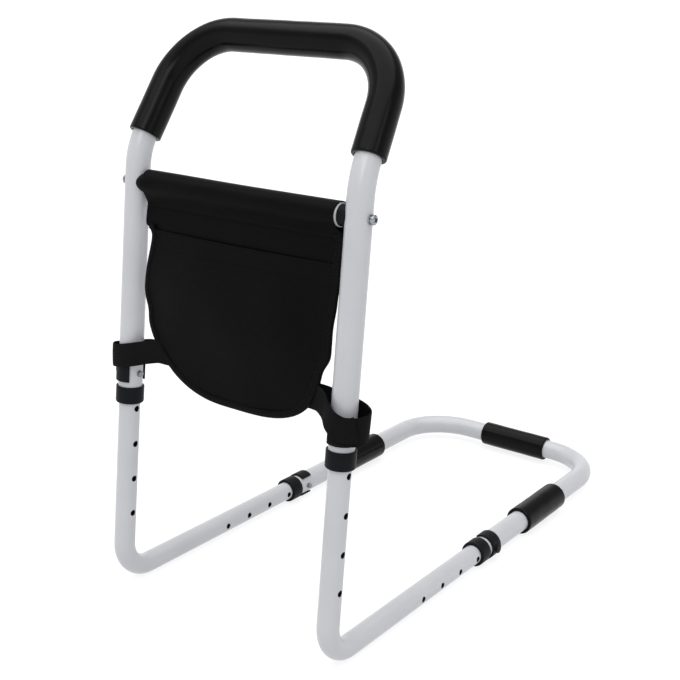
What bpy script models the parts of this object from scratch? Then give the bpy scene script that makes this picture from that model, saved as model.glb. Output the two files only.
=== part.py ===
"""Bed assist bar: a hooped hand bar on two telescoping legs, with a base loop that goes under a mattress.

Lengths are in metres. Every piece is first laid out in a working frame in which the lower tubes are
level: its origin lies on the floor midway between the two leg corners, +X is to the right, +Y points
under the bed, and +Z is up. The frame empty then tips that layout by the small angle at which the legs'
corners and the base's foam sleeves both meet the floor, and centres it on the part's own origin.
"""
import bpy
import bmesh
from math import asin, ceil, cos, pi, radians, sin, tan
from mathutils import Matrix, Vector

# Tubes
OUTER_OD = 0.025
INNER_OD = 0.022
TUBE_WALL = 0.0012
TRACK = 0.272
LEAN = radians(4.0)

# Legs, with the pins' places along them and how far the tubes run on past the pins
LEG_BEND_RADIUS = 0.035
UPRIGHT_PIN = 0.2275
ARM_PIN = 0.313
TOP_PAST_PIN = 0.0345
REACH_PAST_PIN = 0.072
HOLE_PITCH = 0.0385
UPRIGHT_HOLES = 5
ARM_HOLES = 6
ARM_HOLES_PAST_PIN = 1

# Hand bar, whose top corners draw in from the uprights, and the grip that reaches just over its kinks
BAR_KINK = 0.4594
BAR_KINK_RADIUS = 0.080
BAR_DRAW_IN = 0.0082
BAR_TOP_BACK = 0.0987
BAR_TOP_HEIGHT = 0.5814
BAR_TOP_RADIUS = 0.0644
GRIP_OD = 0.033
GRIP_OVER_KINK = 0.0015

# Cross bar, whose ends stand short of the uprights' axes by the plugs' heads
CROSS_HEIGHT = 0.4257
CROSS_OD = 0.022
CROSS_SHORT = 0.018
PLUG_STEM = 0.022
PLUG_CHAMFER = 0.001

# Base loop and its foam sleeves, of which the right one has slid a little further along than the left
BASE_BACK = 0.628
BASE_RADIUS = 0.070
FOAM_OD = 0.033
FOAM_LENGTH = 0.097
LEFT_FOAM_PAST_PIN = 0.075
RIGHT_FOAM_PAST_PIN = 0.080
FAR_FOAM_CENTRE = 0.009
FOAM_SQUASH = 0.0003

# Collars at the ends of the outer tubes
COLLAR_OD = 0.029
COLLAR_LENGTH = 0.018
COLLAR_LIP = 0.0025
COLLAR_ROUND = 0.002
COLLAR_TO_PIN = 0.0325

# Snap clips and their pins
CLIP_WALL = 0.0021
CLIP_LENGTH = 0.0175
CLIP_OPENING = radians(50.0)
CLIP_BOSS_RADIUS = 0.0052
CLIP_BOSS_HEIGHT = 0.0022
CLIP_EDGE = 0.0005
PIN_OD = 0.006
PIN_PAST_TUBE = 0.0038
PIN_CROWN = 0.0013
PIN_GROOVE_PLACE = 0.0018
PIN_GROOVE_WIDTH = 0.0008
PIN_GROOVE_DEPTH = 0.0004

# Screws through the uprights
SCREW_OD = 0.005
SCREW_HEAD_OD = 0.0095
SCREW_HEAD_HEIGHT = 0.0037
SCREW_DOME = 0.0023
SCREW_DEPTH = 0.014
RECESS_SPAN = 0.005
RECESS_WIDTH = 0.0011
RECESS_DEPTH = 0.0018
WASHER_OD = 0.0092
WASHER_HEIGHT = 0.0013

# Pouch, whose sides and sleeve ends stand short of the uprights' axes
CLOTH = 0.0012
POUCH_SHORT = 0.018
POUCH_DEPTH = 0.2046
POUCH_SIDE = 0.110
POUCH_TAPER = 0.2
POUCH_TAPER_START = 0.080
POUCH_TAPER_POWER = 1.3
POUCH_ROUND = 2.6
SLEEVE_SHORT_LEFT = 0.0135
SLEEVE_SHORT_RIGHT = 0.0205
BINDING_WIDTH = 0.011
BINDING_THICKNESS = 0.0034
POCKET_TOP = 0.050
POCKET_BULGE = 0.010
POCKET_MOUTH = 0.0055
POCKET_FULLNESS = 0.8
POCKET_CLOSING = 2.2

# Straps: their heights past the pins, and their places inward, outward and back of the uprights' axes
STRAP_WIDTH = 0.0245
STRAP_THICKNESS = 0.0014
STRAP_LEFT_PAST_PIN = 0.0222
STRAP_RIGHT_PAST_PIN = 0.0065
STRAP_START = 0.052
STRAP_LEAD = 0.030
STRAP_LEAD_BACK = 0.006
STRAP_WRAP_IN = 0.008
STRAP_WRAP_OUT = 0.012
STRAP_FRONT_GAP = 0.0022
STRAP_BACK = 0.017
STRAP_ENDS_APART = 0.0031
STRAP_SWELL = 0.0012
STRAP_EASE = 0.0005
STRAP_OUT_LEFT = 0.0190
STRAP_OUT_RIGHT = 0.0215

# Clearances
SLIDE_GAP = 0.0003
SEAT_GAP = 0.0003
PIN_GAP = 0.0003
SCREW_GAP = 0.0003

# Facets round the tubes, the turn between two rings in a bend, and a cutting rod's length in diameters
TUBE_SIDES = 16
TURNED_SIDES = 20
FINE_SIDES = 24
HOLE_SIDES = 10
CLIP_STEPS = 12
BEND_STEP = radians(11.5)
CUT_THROUGH = 1.5

# Sizes that follow from the ones above
OUTER_R = OUTER_OD / 2
INNER_R = INNER_OD / 2
LEG_TOP = UPRIGHT_PIN + TOP_PAST_PIN
LEG_REACH = ARM_PIN + REACH_PAST_PIN
BAR_TOP_HALF = TRACK / 2 - BAR_DRAW_IN
CROSS_HALF = TRACK / 2 - CROSS_SHORT
UPRIGHT_COLLAR = UPRIGHT_PIN - COLLAR_TO_PIN
ARM_COLLAR = ARM_PIN - COLLAR_TO_PIN
LEFT_FOAM = ARM_PIN + LEFT_FOAM_PAST_PIN
RIGHT_FOAM = ARM_PIN + RIGHT_FOAM_PAST_PIN
POUCH_HALF = TRACK / 2 - POUCH_SHORT
SLEEVE_LEFT = TRACK / 2 - SLEEVE_SHORT_LEFT
SLEEVE_RIGHT = TRACK / 2 - SLEEVE_SHORT_RIGHT
STRAP_LEFT = UPRIGHT_PIN + STRAP_LEFT_PAST_PIN
STRAP_RIGHT = UPRIGHT_PIN + STRAP_RIGHT_PAST_PIN
FOAM_R = FOAM_OD / 2
SLEEVE_R = OUTER_R + SLIDE_GAP
PIN_R = PIN_OD / 2
PIN_HOLE_R = PIN_R + PIN_GAP
SCREW_R = SCREW_OD / 2
SCREW_HOLE_R = SCREW_R + SCREW_GAP
UP = Vector((0, sin(LEAN), cos(LEAN)))
LEG_RUN = LEG_BEND_RADIUS * tan((pi / 2 + LEAN) / 2)
TIP = asin((FOAM_R - FOAM_SQUASH - INNER_R) / (LEFT_FOAM - LEG_RUN))
TIP_SINK = (LEG_BEND_RADIUS + INNER_R) * (1 - cos(TIP))
BINDING_TOP = CROSS_OD / 2 + SLIDE_GAP + CLOTH + SEAT_GAP
PART_FRONT = -INNER_R + LEG_RUN * sin(LEAN)
PART_BACK = BASE_BACK + FOAM_R
PART_CENTRE = (PART_FRONT + PART_BACK) / 2


def clear_scene():
    """Removes every object, so that the part is built from nothing."""
    for old in list(bpy.data.objects):
        bpy.data.objects.remove(old, do_unlink=True)


def new_collection(name):
    """Adds a collection to the scene."""
    group = bpy.data.collections.new(name)
    bpy.context.scene.collection.children.link(group)
    return group


def new_material(name, colour, roughness, metallic=0.0):
    """Makes a Principled material."""
    paint = bpy.data.materials.new(name)
    paint.use_nodes = True
    shader = paint.node_tree.nodes["Principled BSDF"]
    shader.inputs["Base Color"].default_value = (*colour, 1.0)
    shader.inputs["Roughness"].default_value = roughness
    shader.inputs["Metallic"].default_value = metallic
    paint.diffuse_color = (*colour, 1.0)
    return paint


clear_scene()
PART = new_collection("bed_assist_bar")
CUTTERS = new_collection("cutters")
POWDER = new_material("powder_coat", (0.60, 0.61, 0.63), 0.35)
PLASTIC = new_material("black_plastic", (0.012, 0.012, 0.013), 0.45)
FOAM = new_material("black_foam", (0.010, 0.010, 0.011), 0.85)
WEAVE = new_material("black_weave", (0.009, 0.009, 0.010), 0.70)
STEEL = new_material("zinc_steel", (0.55, 0.56, 0.58), 0.30, 1.0)


def empty(name, parent, location=(0, 0, 0), turn=(0, 0, 0)):
    """Adds a reference frame that pieces hang from."""
    frame = bpy.data.objects.new(name, None)
    frame.empty_display_size = 0.02
    frame.parent = parent
    frame.location = location
    frame.rotation_euler = turn
    PART.objects.link(frame)
    return frame


def piece(name, mesh, paint, parent, location=(0, 0, 0), turn=(0, 0, 0)):
    """Puts a mesh in place as a named piece of the part."""
    item = bpy.data.objects.new(name, mesh)
    item.parent = parent
    item.location = location
    item.rotation_euler = turn
    mesh.name = name
    mesh.materials.clear()
    mesh.materials.append(paint)
    mesh.shade_smooth()
    mesh.set_sharp_from_angle(angle=radians(32))
    PART.objects.link(item)
    return item


def cutter(name, mesh, parent, location=(0, 0, 0), turn=(0, 0, 0)):
    """Puts a mesh in place as a hidden cutting shape."""
    shape = bpy.data.objects.new(name, mesh)
    shape.parent = parent
    shape.location = location
    shape.rotation_euler = turn
    shape.hide_render = True
    shape.display_type = "WIRE"
    CUTTERS.objects.link(shape)
    return shape


def combine(item, shape, operation="DIFFERENCE"):
    """Cuts a shape out of a piece, or joins it on."""
    step = item.modifiers.new(f"{operation.lower()}_{shape.name}", "BOOLEAN")
    step.operation = operation
    step.solver = "EXACT"
    step.object = shape


def soften(item, width, segments=2, angle=40.0):
    """Rounds the sharp edges of a piece."""
    step = item.modifiers.new("edges", "BEVEL")
    step.width = width
    step.segments = segments
    step.limit_method = "ANGLE"
    step.angle_limit = radians(angle)


def thicken(item, thickness, offset):
    """Gives an open surface a real wall."""
    step = item.modifiers.new("wall", "SOLIDIFY")
    step.thickness = thickness
    step.offset = offset
    step.use_even_offset = True


def taken_mesh(item):
    """Takes the finished mesh of a curve or of a modified object, and removes that object."""
    bpy.context.view_layer.update()
    graph = bpy.context.evaluated_depsgraph_get()
    mesh = bpy.data.meshes.new_from_object(item.evaluated_get(graph))
    shape = bmesh.new()
    shape.from_mesh(mesh)
    bmesh.ops.remove_doubles(shape, verts=shape.verts, dist=1e-6)
    shape.to_mesh(mesh)
    shape.free()
    bpy.data.objects.remove(item, do_unlink=True)
    return mesh


def rounded_path(corners, radii):
    """Joins corners by straight runs, and turns each inner corner by an arc of its own radius."""
    path = [Vector(corners[0])]
    for index, radius in enumerate(radii):
        corner = Vector(corners[index + 1])
        back = (Vector(corners[index]) - corner).normalized()
        ahead = (Vector(corners[index + 2]) - corner).normalized()
        half = back.angle(ahead) / 2
        centre = corner + (back + ahead).normalized() * (radius / sin(half))
        first = corner + back * (radius / tan(half)) - centre
        last = corner + ahead * (radius / tan(half)) - centre
        turn = pi - 2 * half
        steps = max(2, ceil(turn / BEND_STEP))
        for step in range(steps + 1):
            share = step / steps
            arm = (first * sin((1 - share) * turn) + last * sin(share * turn)) / sin(turn)
            path.append(centre + arm)
    path.append(Vector(corners[-1]))
    return path


def swept_mesh(name, path, radius, sides=TUBE_SIDES):
    """Sweeps a circle along a path by a bevelled curve and returns its open skin."""
    line = bpy.data.curves.new(name, "CURVE")
    line.dimensions = "3D"
    line.bevel_depth = radius
    line.bevel_resolution = (sides - 4) // 2
    line.use_fill_caps = False
    spline = line.splines.new("POLY")
    spline.points.add(len(path) - 1)
    for point, place in zip(spline.points, path):
        point.co = (*place, 1.0)
    holder = bpy.data.objects.new(name, line)
    CUTTERS.objects.link(holder)
    return taken_mesh(holder)


def tube(name, path, outer_diameter, wall, paint, parent, origin=(0, 0, 0), sides=TUBE_SIDES):
    """Makes a bent tube with a real bore, its origin at a chosen place."""
    start = Vector(origin)
    mesh = swept_mesh(name, [place - start for place in path], outer_diameter / 2, sides)
    item = piece(name, mesh, paint, parent, start)
    thicken(item, wall, -1.0)
    return item


def turned_mesh(name, profile, sides, closed=True):
    """Turns a profile of (radius, height) points about Z by a Screw modifier and returns the mesh."""
    mesh = bpy.data.meshes.new(name)
    count = len(profile)
    links = [(index, index + 1) for index in range(count - 1)]
    if closed:
        links.append((count - 1, 0))
    mesh.from_pydata([(radius, 0, height) for radius, height in profile], links, [])
    holder = bpy.data.objects.new(name, mesh)
    CUTTERS.objects.link(holder)
    step = holder.modifiers.new("turn", "SCREW")
    step.angle = 2 * pi
    step.steps = sides
    step.render_steps = sides
    step.use_merge_vertices = True
    step.merge_threshold = 1e-5
    return taken_mesh(holder)


def rod_mesh(radius, length, axis, sides=HOLE_SIDES):
    """Returns a plain cylinder centred on its origin and lying along X, Y or Z."""
    shape = bmesh.new()
    bmesh.ops.create_cone(
        shape, cap_ends=True, segments=sides, radius1=radius, radius2=radius, depth=length
    )
    turns = {"X": Matrix.Rotation(pi / 2, 4, "Y"), "Y": Matrix.Rotation(pi / 2, 4, "X"), "Z": Matrix()}
    bmesh.ops.transform(shape, matrix=turns[axis], verts=shape.verts)
    mesh = bpy.data.meshes.new("rod")
    shape.to_mesh(mesh)
    shape.free()
    return mesh


def block_mesh(size):
    """Returns a box centred on its origin."""
    shape = bmesh.new()
    bmesh.ops.create_cube(shape, size=1.0)
    bmesh.ops.scale(shape, vec=Vector(size), verts=shape.verts)
    mesh = bpy.data.meshes.new("block")
    shape.to_mesh(mesh)
    shape.free()
    return mesh


def grid_mesh(name, rows):
    """Returns the open surface through rows of places, each row as long as the next."""
    width = len(rows[0])
    places = [place for row in rows for place in row]
    faces = []
    for r in range(len(rows) - 1):
        for c in range(width - 1):
            a = r * width + c
            faces.append((a, a + 1, a + width + 1, a + width))
    mesh = bpy.data.meshes.new(name)
    mesh.from_pydata(places, [], faces)
    return mesh


# Reference frames
frame = empty("frame", None, (0, -PART_CENTRE, 0), (0, 0, 0))
layout = empty("layout", frame, (0, LEG_RUN, TIP_SINK), (TIP, 0, 0))
level = empty("level", layout, (0, -LEG_RUN, 0))
uprights = {}
arms = {}
for side, way in (("left", -1), ("right", 1)):
    corner = (way * TRACK / 2, 0, INNER_R)
    uprights[side] = empty(f"upright_axis_{side}", level, corner, (-LEAN, 0, 0))
    arms[side] = empty(f"arm_axis_{side}", level, corner, (-pi / 2, 0, 0))


def upright_point(way, height):
    """The place on an upright's axis at a distance from the leg's corner."""
    return Vector((way * TRACK / 2, 0, INNER_R)) + UP * height


def row_of_holes(name, parent, start, count):
    """A row of cross holes, the first at a distance along the parent's Z and the rest back from it."""
    shape = cutter(name, rod_mesh(PIN_HOLE_R, INNER_OD * CUT_THROUGH, "X"), parent, (0, 0, start))
    step = shape.modifiers.new("row", "ARRAY")
    step.count = count
    step.use_relative_offset = False
    step.use_constant_offset = True
    step.constant_offset_displace = (0, 0, -HOLE_PITCH)
    return shape


def make_leg(side, way):
    """One L-shaped inner tube with its two rows of adjusting holes."""
    corner = Vector((way * TRACK / 2, 0, INNER_R))
    path = rounded_path(
        [corner + Vector((0, LEG_REACH, 0)), corner, corner + UP * LEG_TOP], [LEG_BEND_RADIUS]
    )
    leg = tube(f"leg_{side}", path, INNER_OD, TUBE_WALL, POWDER, level, corner)
    last = ARM_PIN + ARM_HOLES_PAST_PIN * HOLE_PITCH
    combine(leg, row_of_holes(f"upright_holes_{side}", uprights[side], UPRIGHT_PIN, UPRIGHT_HOLES))
    combine(leg, row_of_holes(f"arm_holes_{side}", arms[side], last, ARM_HOLES))


def bar_corners():
    """The hand bar's kinks and top corners, from the left upright to the right one."""
    left = upright_point(-1, BAR_KINK)
    right = upright_point(1, BAR_KINK)
    top_left = Vector((-BAR_TOP_HALF, BAR_TOP_BACK, BAR_TOP_HEIGHT))
    top_right = Vector((BAR_TOP_HALF, BAR_TOP_BACK, BAR_TOP_HEIGHT))
    return left, top_left, top_right, right


def kink_bend():
    """The kinks' turn, and their radius, which takes no more of a side run than its top corner leaves."""
    left, top_left = bar_corners()[:2]
    run = top_left - left
    turn = run.angle(UP)
    spare = run.length - BAR_TOP_RADIUS * tan(run.angle(Vector((1, 0, 0))) / 2)
    return turn, min(BAR_KINK_RADIUS, spare / tan(turn / 2))


def make_hand_bar():
    """The hooped outer tube, with the pins' and the screws' cross holes."""
    foot = UPRIGHT_COLLAR + COLLAR_LIP + SEAT_GAP
    left, top_left, top_right, right = bar_corners()
    kink = kink_bend()[1]
    radii = [kink, BAR_TOP_RADIUS, BAR_TOP_RADIUS, kink]
    path = rounded_path(
        [upright_point(-1, foot), left, top_left, top_right, right, upright_point(1, foot)], radii
    )
    middle = Vector((0, 0, INNER_R)) + UP * UPRIGHT_PIN
    bar = tube("hand_bar", path, OUTER_OD, TUBE_WALL, POWDER, level, middle)
    for side in ("left", "right"):
        for what, radius, height in (
            ("pin_hole", PIN_HOLE_R, UPRIGHT_PIN),
            ("screw_hole", SCREW_HOLE_R, CROSS_HEIGHT),
        ):
            shape = rod_mesh(radius, OUTER_OD * CUT_THROUGH, "X")
            combine(bar, cutter(f"{what}_{side}", shape, uprights[side], (0, 0, height)))


def make_grip():
    """The foam grip over the top of the hand bar, from one side run round both corners to the other."""
    left, top_left, top_right, right = bar_corners()
    turn, kink = kink_bend()
    rest = kink * tan(turn / 2) - GRIP_OVER_KINK
    start = left + (top_left - left).normalized() * rest
    end = right + (top_right - right).normalized() * rest
    path = rounded_path([start, top_left, top_right, end], [BAR_TOP_RADIUS, BAR_TOP_RADIUS])
    wall = GRIP_OD / 2 - (OUTER_R + SEAT_GAP) / cos(pi / TUBE_SIDES)
    grip = tube("hand_grip", path, GRIP_OD, wall, FOAM, level, (top_left + top_right) / 2)


def collar_profile():
    """Half section of an end collar: an outer sleeve with a rounded foot and an inner lip."""
    outer = COLLAR_OD / 2
    inner = SLEEVE_R
    lip = INNER_R + SLIDE_GAP
    rim = COLLAR_ROUND / 4
    foot = []
    for step in range(3):
        angle = step * pi / 4
        foot.append(
            (outer - COLLAR_ROUND * (1 - cos(angle)), COLLAR_ROUND * (1 - sin(angle)))
        )
    return [
        (inner, COLLAR_LENGTH),
        (outer - rim, COLLAR_LENGTH),
        (outer, COLLAR_LENGTH - rim),
        *foot,
        (lip, 0),
        (lip, COLLAR_LIP),
        (inner, COLLAR_LIP),
    ]


def clip_mesh():
    """An open ring that wraps the tube, its mouth towards +X and its length along Z."""
    inner = SLEEVE_R
    outer = inner + CLIP_WALL
    middle = (inner + outer) / 2
    end_round = CLIP_WALL / 2
    line = bpy.data.curves.new("clip", "CURVE")
    line.dimensions = "2D"
    line.fill_mode = "BOTH"
    line.extrude = CLIP_LENGTH / 2
    outline = []
    for step in range(CLIP_STEPS + 1):
        angle = CLIP_OPENING + (2 * pi - 2 * CLIP_OPENING) * step / CLIP_STEPS
        outline.append((outer * cos(angle), outer * sin(angle)))
    for step in range(1, 4):
        angle = -CLIP_OPENING + step * pi / 4
        centre = (middle * cos(-CLIP_OPENING), middle * sin(-CLIP_OPENING))
        outline.append((centre[0] + end_round * cos(angle), centre[1] + end_round * sin(angle)))
    for step in range(CLIP_STEPS + 1):
        angle = 2 * pi - CLIP_OPENING - (2 * pi - 2 * CLIP_OPENING) * step / CLIP_STEPS
        outline.append((inner * cos(angle), inner * sin(angle)))
    for step in range(1, 4):
        angle = CLIP_OPENING + pi + step * pi / 4
        centre = (middle * cos(CLIP_OPENING), middle * sin(CLIP_OPENING))
        outline.append((centre[0] + end_round * cos(angle), centre[1] + end_round * sin(angle)))
    spline = line.splines.new("POLY")
    spline.points.add(len(outline) - 1)
    for point, (x, y) in zip(spline.points, outline):
        point.co = (x, y, 0, 1)
    spline.use_cyclic_u = True
    holder = bpy.data.objects.new("clip", line)
    CUTTERS.objects.link(holder)
    return taken_mesh(holder)


def domed_end(radius, top, drop, steps):
    """The half section of a rounded end, from its middle out to its edge, a drop lower."""
    section = []
    for step in range(steps + 1):
        angle = step * pi / 2 / steps
        section.append((radius * sin(angle), top - drop * (1 - cos(angle))))
    return section


def pin_profile():
    """Half section of a pin, from its rounded and grooved tip down to its flat outer end."""
    tip = OUTER_R + PIN_PAST_TUBE
    foot = -(SLEEVE_R + CLIP_WALL + CLIP_BOSS_HEIGHT / 2 - SEAT_GAP)
    groove = tip - PIN_GROOVE_PLACE
    core = PIN_R - PIN_GROOVE_DEPTH
    return [
        *domed_end(PIN_R, tip, PIN_CROWN, 3),
        (PIN_R, groove),
        (core, groove - PIN_GROOVE_WIDTH / 3),
        (core, groove - PIN_GROOVE_WIDTH * 2 / 3),
        (PIN_R, groove - PIN_GROOVE_WIDTH),
        (PIN_R, foot),
        (0, foot),
    ]


def make_clip(name, side, way, axis, place):
    """A spring clip and its pin, pulled outward to free the two tubes."""
    turn = (0, 0, 0) if way < 0 else (0, 0, pi)
    inner = SLEEVE_R
    outer = inner + CLIP_WALL
    clip = piece(f"{name}_clip_{side}", clip_mesh(), PLASTIC, axis, (0, 0, place), turn)
    soften(clip, CLIP_EDGE, 1, 60)
    boss_start = inner + CLIP_WALL / 2
    boss_end = outer + CLIP_BOSS_HEIGHT
    boss_length = boss_end - boss_start
    boss = cutter(f"boss_{name}_{side}", rod_mesh(CLIP_BOSS_RADIUS, boss_length, "X", 20), clip)
    boss.location = (-(boss_start + boss_end) / 2, 0, 0)
    combine(clip, boss, "UNION")
    depth = CLIP_WALL + CLIP_BOSS_HEIGHT / 2
    socket = cutter(f"socket_{name}_{side}", rod_mesh(PIN_HOLE_R, depth * 2, "X", 16), clip)
    socket.location = (-(outer + CLIP_BOSS_HEIGHT / 2 - depth), 0, 0)
    combine(clip, socket)
    pin_mesh = turned_mesh("pin", pin_profile(), 12, False)
    piece(f"{name}_pin_{side}", pin_mesh, STEEL, axis, (0, 0, place), (0, -way * pi / 2, 0))


def make_crossbar(side_axes):
    """The straight tube between the uprights, its two end plugs, and their screws and washers."""
    centre = Vector((0, 0, INNER_R)) + UP * CROSS_HEIGHT
    ends = [centre - Vector((CROSS_HALF, 0, 0)), centre + Vector((CROSS_HALF, 0, 0))]
    tube("cross_bar", ends, CROSS_OD, TUBE_WALL, POWDER, level, centre)
    stem = CROSS_OD / 2 - TUBE_WALL - SEAT_GAP
    flange = CROSS_OD / 2
    shoulder = TRACK / 2 - CROSS_HALF - SEAT_GAP
    foot = shoulder + SEAT_GAP + PLUG_STEM
    plug = [
        (SCREW_HOLE_R, 0),
        (flange, 0),
        (flange, -shoulder),
        (stem, -shoulder),
        (stem, -foot + PLUG_CHAMFER),
        (stem - PLUG_CHAMFER, -foot),
        (SCREW_HOLE_R, -foot),
    ]
    wall_out = OUTER_R + SEAT_GAP
    washer_out = wall_out + WASHER_HEIGHT
    head_in = washer_out + SEAT_GAP
    head_out = head_in + SCREW_HEAD_HEIGHT
    reach = shoulder + SCREW_DEPTH
    washer = [
        (SCREW_HOLE_R, washer_out),
        (WASHER_OD / 2, washer_out),
        (WASHER_OD / 2, wall_out),
        (SCREW_HOLE_R, wall_out),
    ]
    head = SCREW_HEAD_OD / 2
    screw = [
        *domed_end(head, head_out, SCREW_DOME, 4),
        (head, head_in),
        (SCREW_R, head_in),
        (SCREW_R, -reach),
        (0, -reach),
    ]
    for side, way in (("left", -1), ("right", 1)):
        axis = side_axes[side]
        place = (0, 0, CROSS_HEIGHT)
        turn = (0, way * pi / 2, 0)
        item = piece(
            f"cross_plug_{side}", turned_mesh("plug", plug, TURNED_SIDES), PLASTIC, axis, place, turn
        )
        saddle = rod_mesh(SLEEVE_R, OUTER_OD * CUT_THROUGH, "Z", FINE_SIDES)
        combine(item, cutter(f"saddle_{side}", saddle, axis, place))
        piece(
            f"cross_washer_{side}", turned_mesh("washer", washer, TUBE_SIDES), STEEL, axis, place, turn
        )
        bolt = piece(
            f"cross_screw_{side}", turned_mesh("screw", screw, TUBE_SIDES, False), STEEL, axis, place, turn
        )
        for index, angle in enumerate((0, pi / 2)):
            slot = block_mesh((RECESS_SPAN, RECESS_WIDTH, 2 * RECESS_DEPTH))
            shape = cutter(f"recess_{side}_{index}", slot, bolt, (0, 0, head_out), (0, 0, angle))
            combine(bolt, shape)


def make_base():
    """The U-shaped outer tube and its three foam sleeves."""
    start = ARM_COLLAR + COLLAR_LIP + SEAT_GAP
    left = Vector((-TRACK / 2, BASE_BACK, INNER_R))
    right = Vector((TRACK / 2, BASE_BACK, INNER_R))
    path = rounded_path(
        [Vector((left.x, start, left.z)), left, right, Vector((right.x, start, right.z))],
        [BASE_RADIUS, BASE_RADIUS],
    )
    base = tube(
        "base_loop", path, OUTER_OD, TUBE_WALL, POWDER, level, Vector((0, ARM_PIN, INNER_R))
    )
    slab = block_mesh((2 * TRACK, 2 * BASE_BACK, INNER_OD))
    floor = cutter("floor", slab, frame, (0, PART_CENTRE, -INNER_R))
    wall = FOAM_R - SLEEVE_R
    half = Vector((0, 0, FOAM_LENGTH / 2))
    for side, place in (("left", LEFT_FOAM), ("right", RIGHT_FOAM)):
        shape = rod_mesh(PIN_HOLE_R, OUTER_OD * CUT_THROUGH, "X")
        combine(base, cutter(f"base_pin_hole_{side}", shape, arms[side], (0, 0, ARM_PIN)))
        mesh = swept_mesh("foam", [-half, half], FOAM_R, FINE_SIDES)
        middle = (0, 0, place + FOAM_LENGTH / 2)
        foam = piece(f"base_foam_{side}", mesh, FOAM, arms[side], middle)
        thicken(foam, wall, -1.0)
        combine(foam, floor)
    mesh = swept_mesh("foam", [-half, half], FOAM_R, FINE_SIDES)
    far = (FAR_FOAM_CENTRE, BASE_BACK, INNER_R)
    foam = piece("base_foam_back", mesh, FOAM, level, far, (0, pi / 2, 0))
    thicken(foam, wall, -1.0)


def pouch_place(turn, share, top, inset, forward):
    """A place on the pouch: the column at an angle round its outline, a share of the way down it."""
    power = 2 / POUCH_ROUND
    across = abs(cos(turn)) ** power * (-1 if turn < pi / 2 else 1)
    lower = POUCH_SIDE + (POUCH_DEPTH - POUCH_SIDE) * abs(sin(turn)) ** power - inset
    depth = top + (lower - top) * share
    below = max(0.0, depth - POUCH_TAPER_START) / (POUCH_DEPTH - POUCH_TAPER_START)
    narrow = below ** POUCH_TAPER_POWER
    x = across * (POUCH_HALF - inset) * (1 - POUCH_TAPER * narrow)
    return Vector((x, -forward, -depth))


def make_pouch(hang):
    """The pouch: a back panel with its sleeve over the cross bar, a front pocket, and the bound edge."""
    turns = [pi * step / 18 for step in range(19)]
    inset = BINDING_WIDTH + SEAT_GAP * 3
    sleeve_inner = CROSS_OD / 2 + SLIDE_GAP
    rows = 6
    top = sleeve_inner + CLOTH / 2
    grid = [[pouch_place(turn, row / rows, top, inset, 0) for turn in turns] for row in range(rows + 1)]
    panel = piece("pouch_panel", grid_mesh("panel", grid), WEAVE, hang)
    thicken(panel, CLOTH, 0.0)
    length = SLEEVE_LEFT + SLEEVE_RIGHT
    offset = (SLEEVE_RIGHT - SLEEVE_LEFT) / 2
    sleeve_ring = [
        (sleeve_inner + CLOTH, length / 2),
        (sleeve_inner + CLOTH, -length / 2),
        (sleeve_inner, -length / 2),
        (sleeve_inner, length / 2),
    ]
    sleeve = cutter("pouch_sleeve", turned_mesh("sleeve", sleeve_ring, TURNED_SIDES), hang)
    sleeve.location = (offset, 0, 0)
    sleeve.rotation_euler = (0, pi / 2, 0)
    combine(panel, sleeve, "UNION")
    rows = 5
    front = []
    for row in range(rows + 1):
        share = row / rows
        line = []
        for turn in turns:
            place = pouch_place(turn, share, POCKET_TOP, inset, CLOTH + SEAT_GAP)
            swell = POCKET_MOUTH + (POCKET_BULGE - POCKET_MOUTH) * sin(pi * share)
            belly = swell * sin(turn) ** POCKET_FULLNESS * (1 - share ** POCKET_CLOSING)
            line.append(place + Vector((0, -belly, 0)))
        front.append(line)
    pocket = piece("pouch_pocket", grid_mesh("pocket", front), WEAVE, hang)
    thicken(pocket, CLOTH, 0.0)
    edge = []
    for width in (0, BINDING_WIDTH):
        sides = [BINDING_TOP + (POUCH_SIDE - BINDING_TOP) * step / 3 for step in range(3)]
        line = []
        for depth in sides:
            share = (depth - BINDING_TOP) / (POUCH_SIDE - width - BINDING_TOP)
            line.append(pouch_place(0.0, share, BINDING_TOP, width, CLOTH / 2))
        line += [pouch_place(turn, 1.0, BINDING_TOP, width, CLOTH / 2) for turn in turns]
        for depth in reversed(sides):
            share = (depth - BINDING_TOP) / (POUCH_SIDE - width - BINDING_TOP)
            line.append(pouch_place(pi, share, BINDING_TOP, width, CLOTH / 2))
        edge.append(line)
    binding = piece("pouch_binding", grid_mesh("binding", edge), WEAVE, hang)
    thicken(binding, BINDING_THICKNESS, 0.0)


def make_strap(side, way, height, outward):
    """A webbing strap from behind the pouch, round its upright and back, with a loose outer bulge."""
    front = -OUTER_R - STRAP_FRONT_GAP
    loop = [
        (STRAP_START, STRAP_BACK - STRAP_ENDS_APART),
        (STRAP_LEAD, STRAP_LEAD_BACK),
        (STRAP_WRAP_IN, front),
        (-STRAP_WRAP_OUT, front + STRAP_EASE),
        (-outward, STRAP_EASE),
        (-STRAP_WRAP_OUT, STRAP_BACK + STRAP_SWELL),
        (STRAP_WRAP_IN, STRAP_BACK),
        (STRAP_START, STRAP_BACK),
    ]
    line = bpy.data.curves.new("strap", "CURVE")
    line.dimensions = "3D"
    line.extrude = STRAP_WIDTH / 2
    line.resolution_u = 5
    line.render_resolution_u = 5
    spline = line.splines.new("BEZIER")
    spline.bezier_points.add(len(loop) - 1)
    for point, (inward, back) in zip(spline.bezier_points, loop):
        point.co = (-way * inward, back, 0)
        point.handle_left_type = "AUTO"
        point.handle_right_type = "AUTO"
    holder = bpy.data.objects.new("strap", line)
    CUTTERS.objects.link(holder)
    strap = piece(f"strap_{side}", taken_mesh(holder), WEAVE, uprights[side], (0, 0, height))
    thicken(strap, STRAP_THICKNESS, 0.0)


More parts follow.
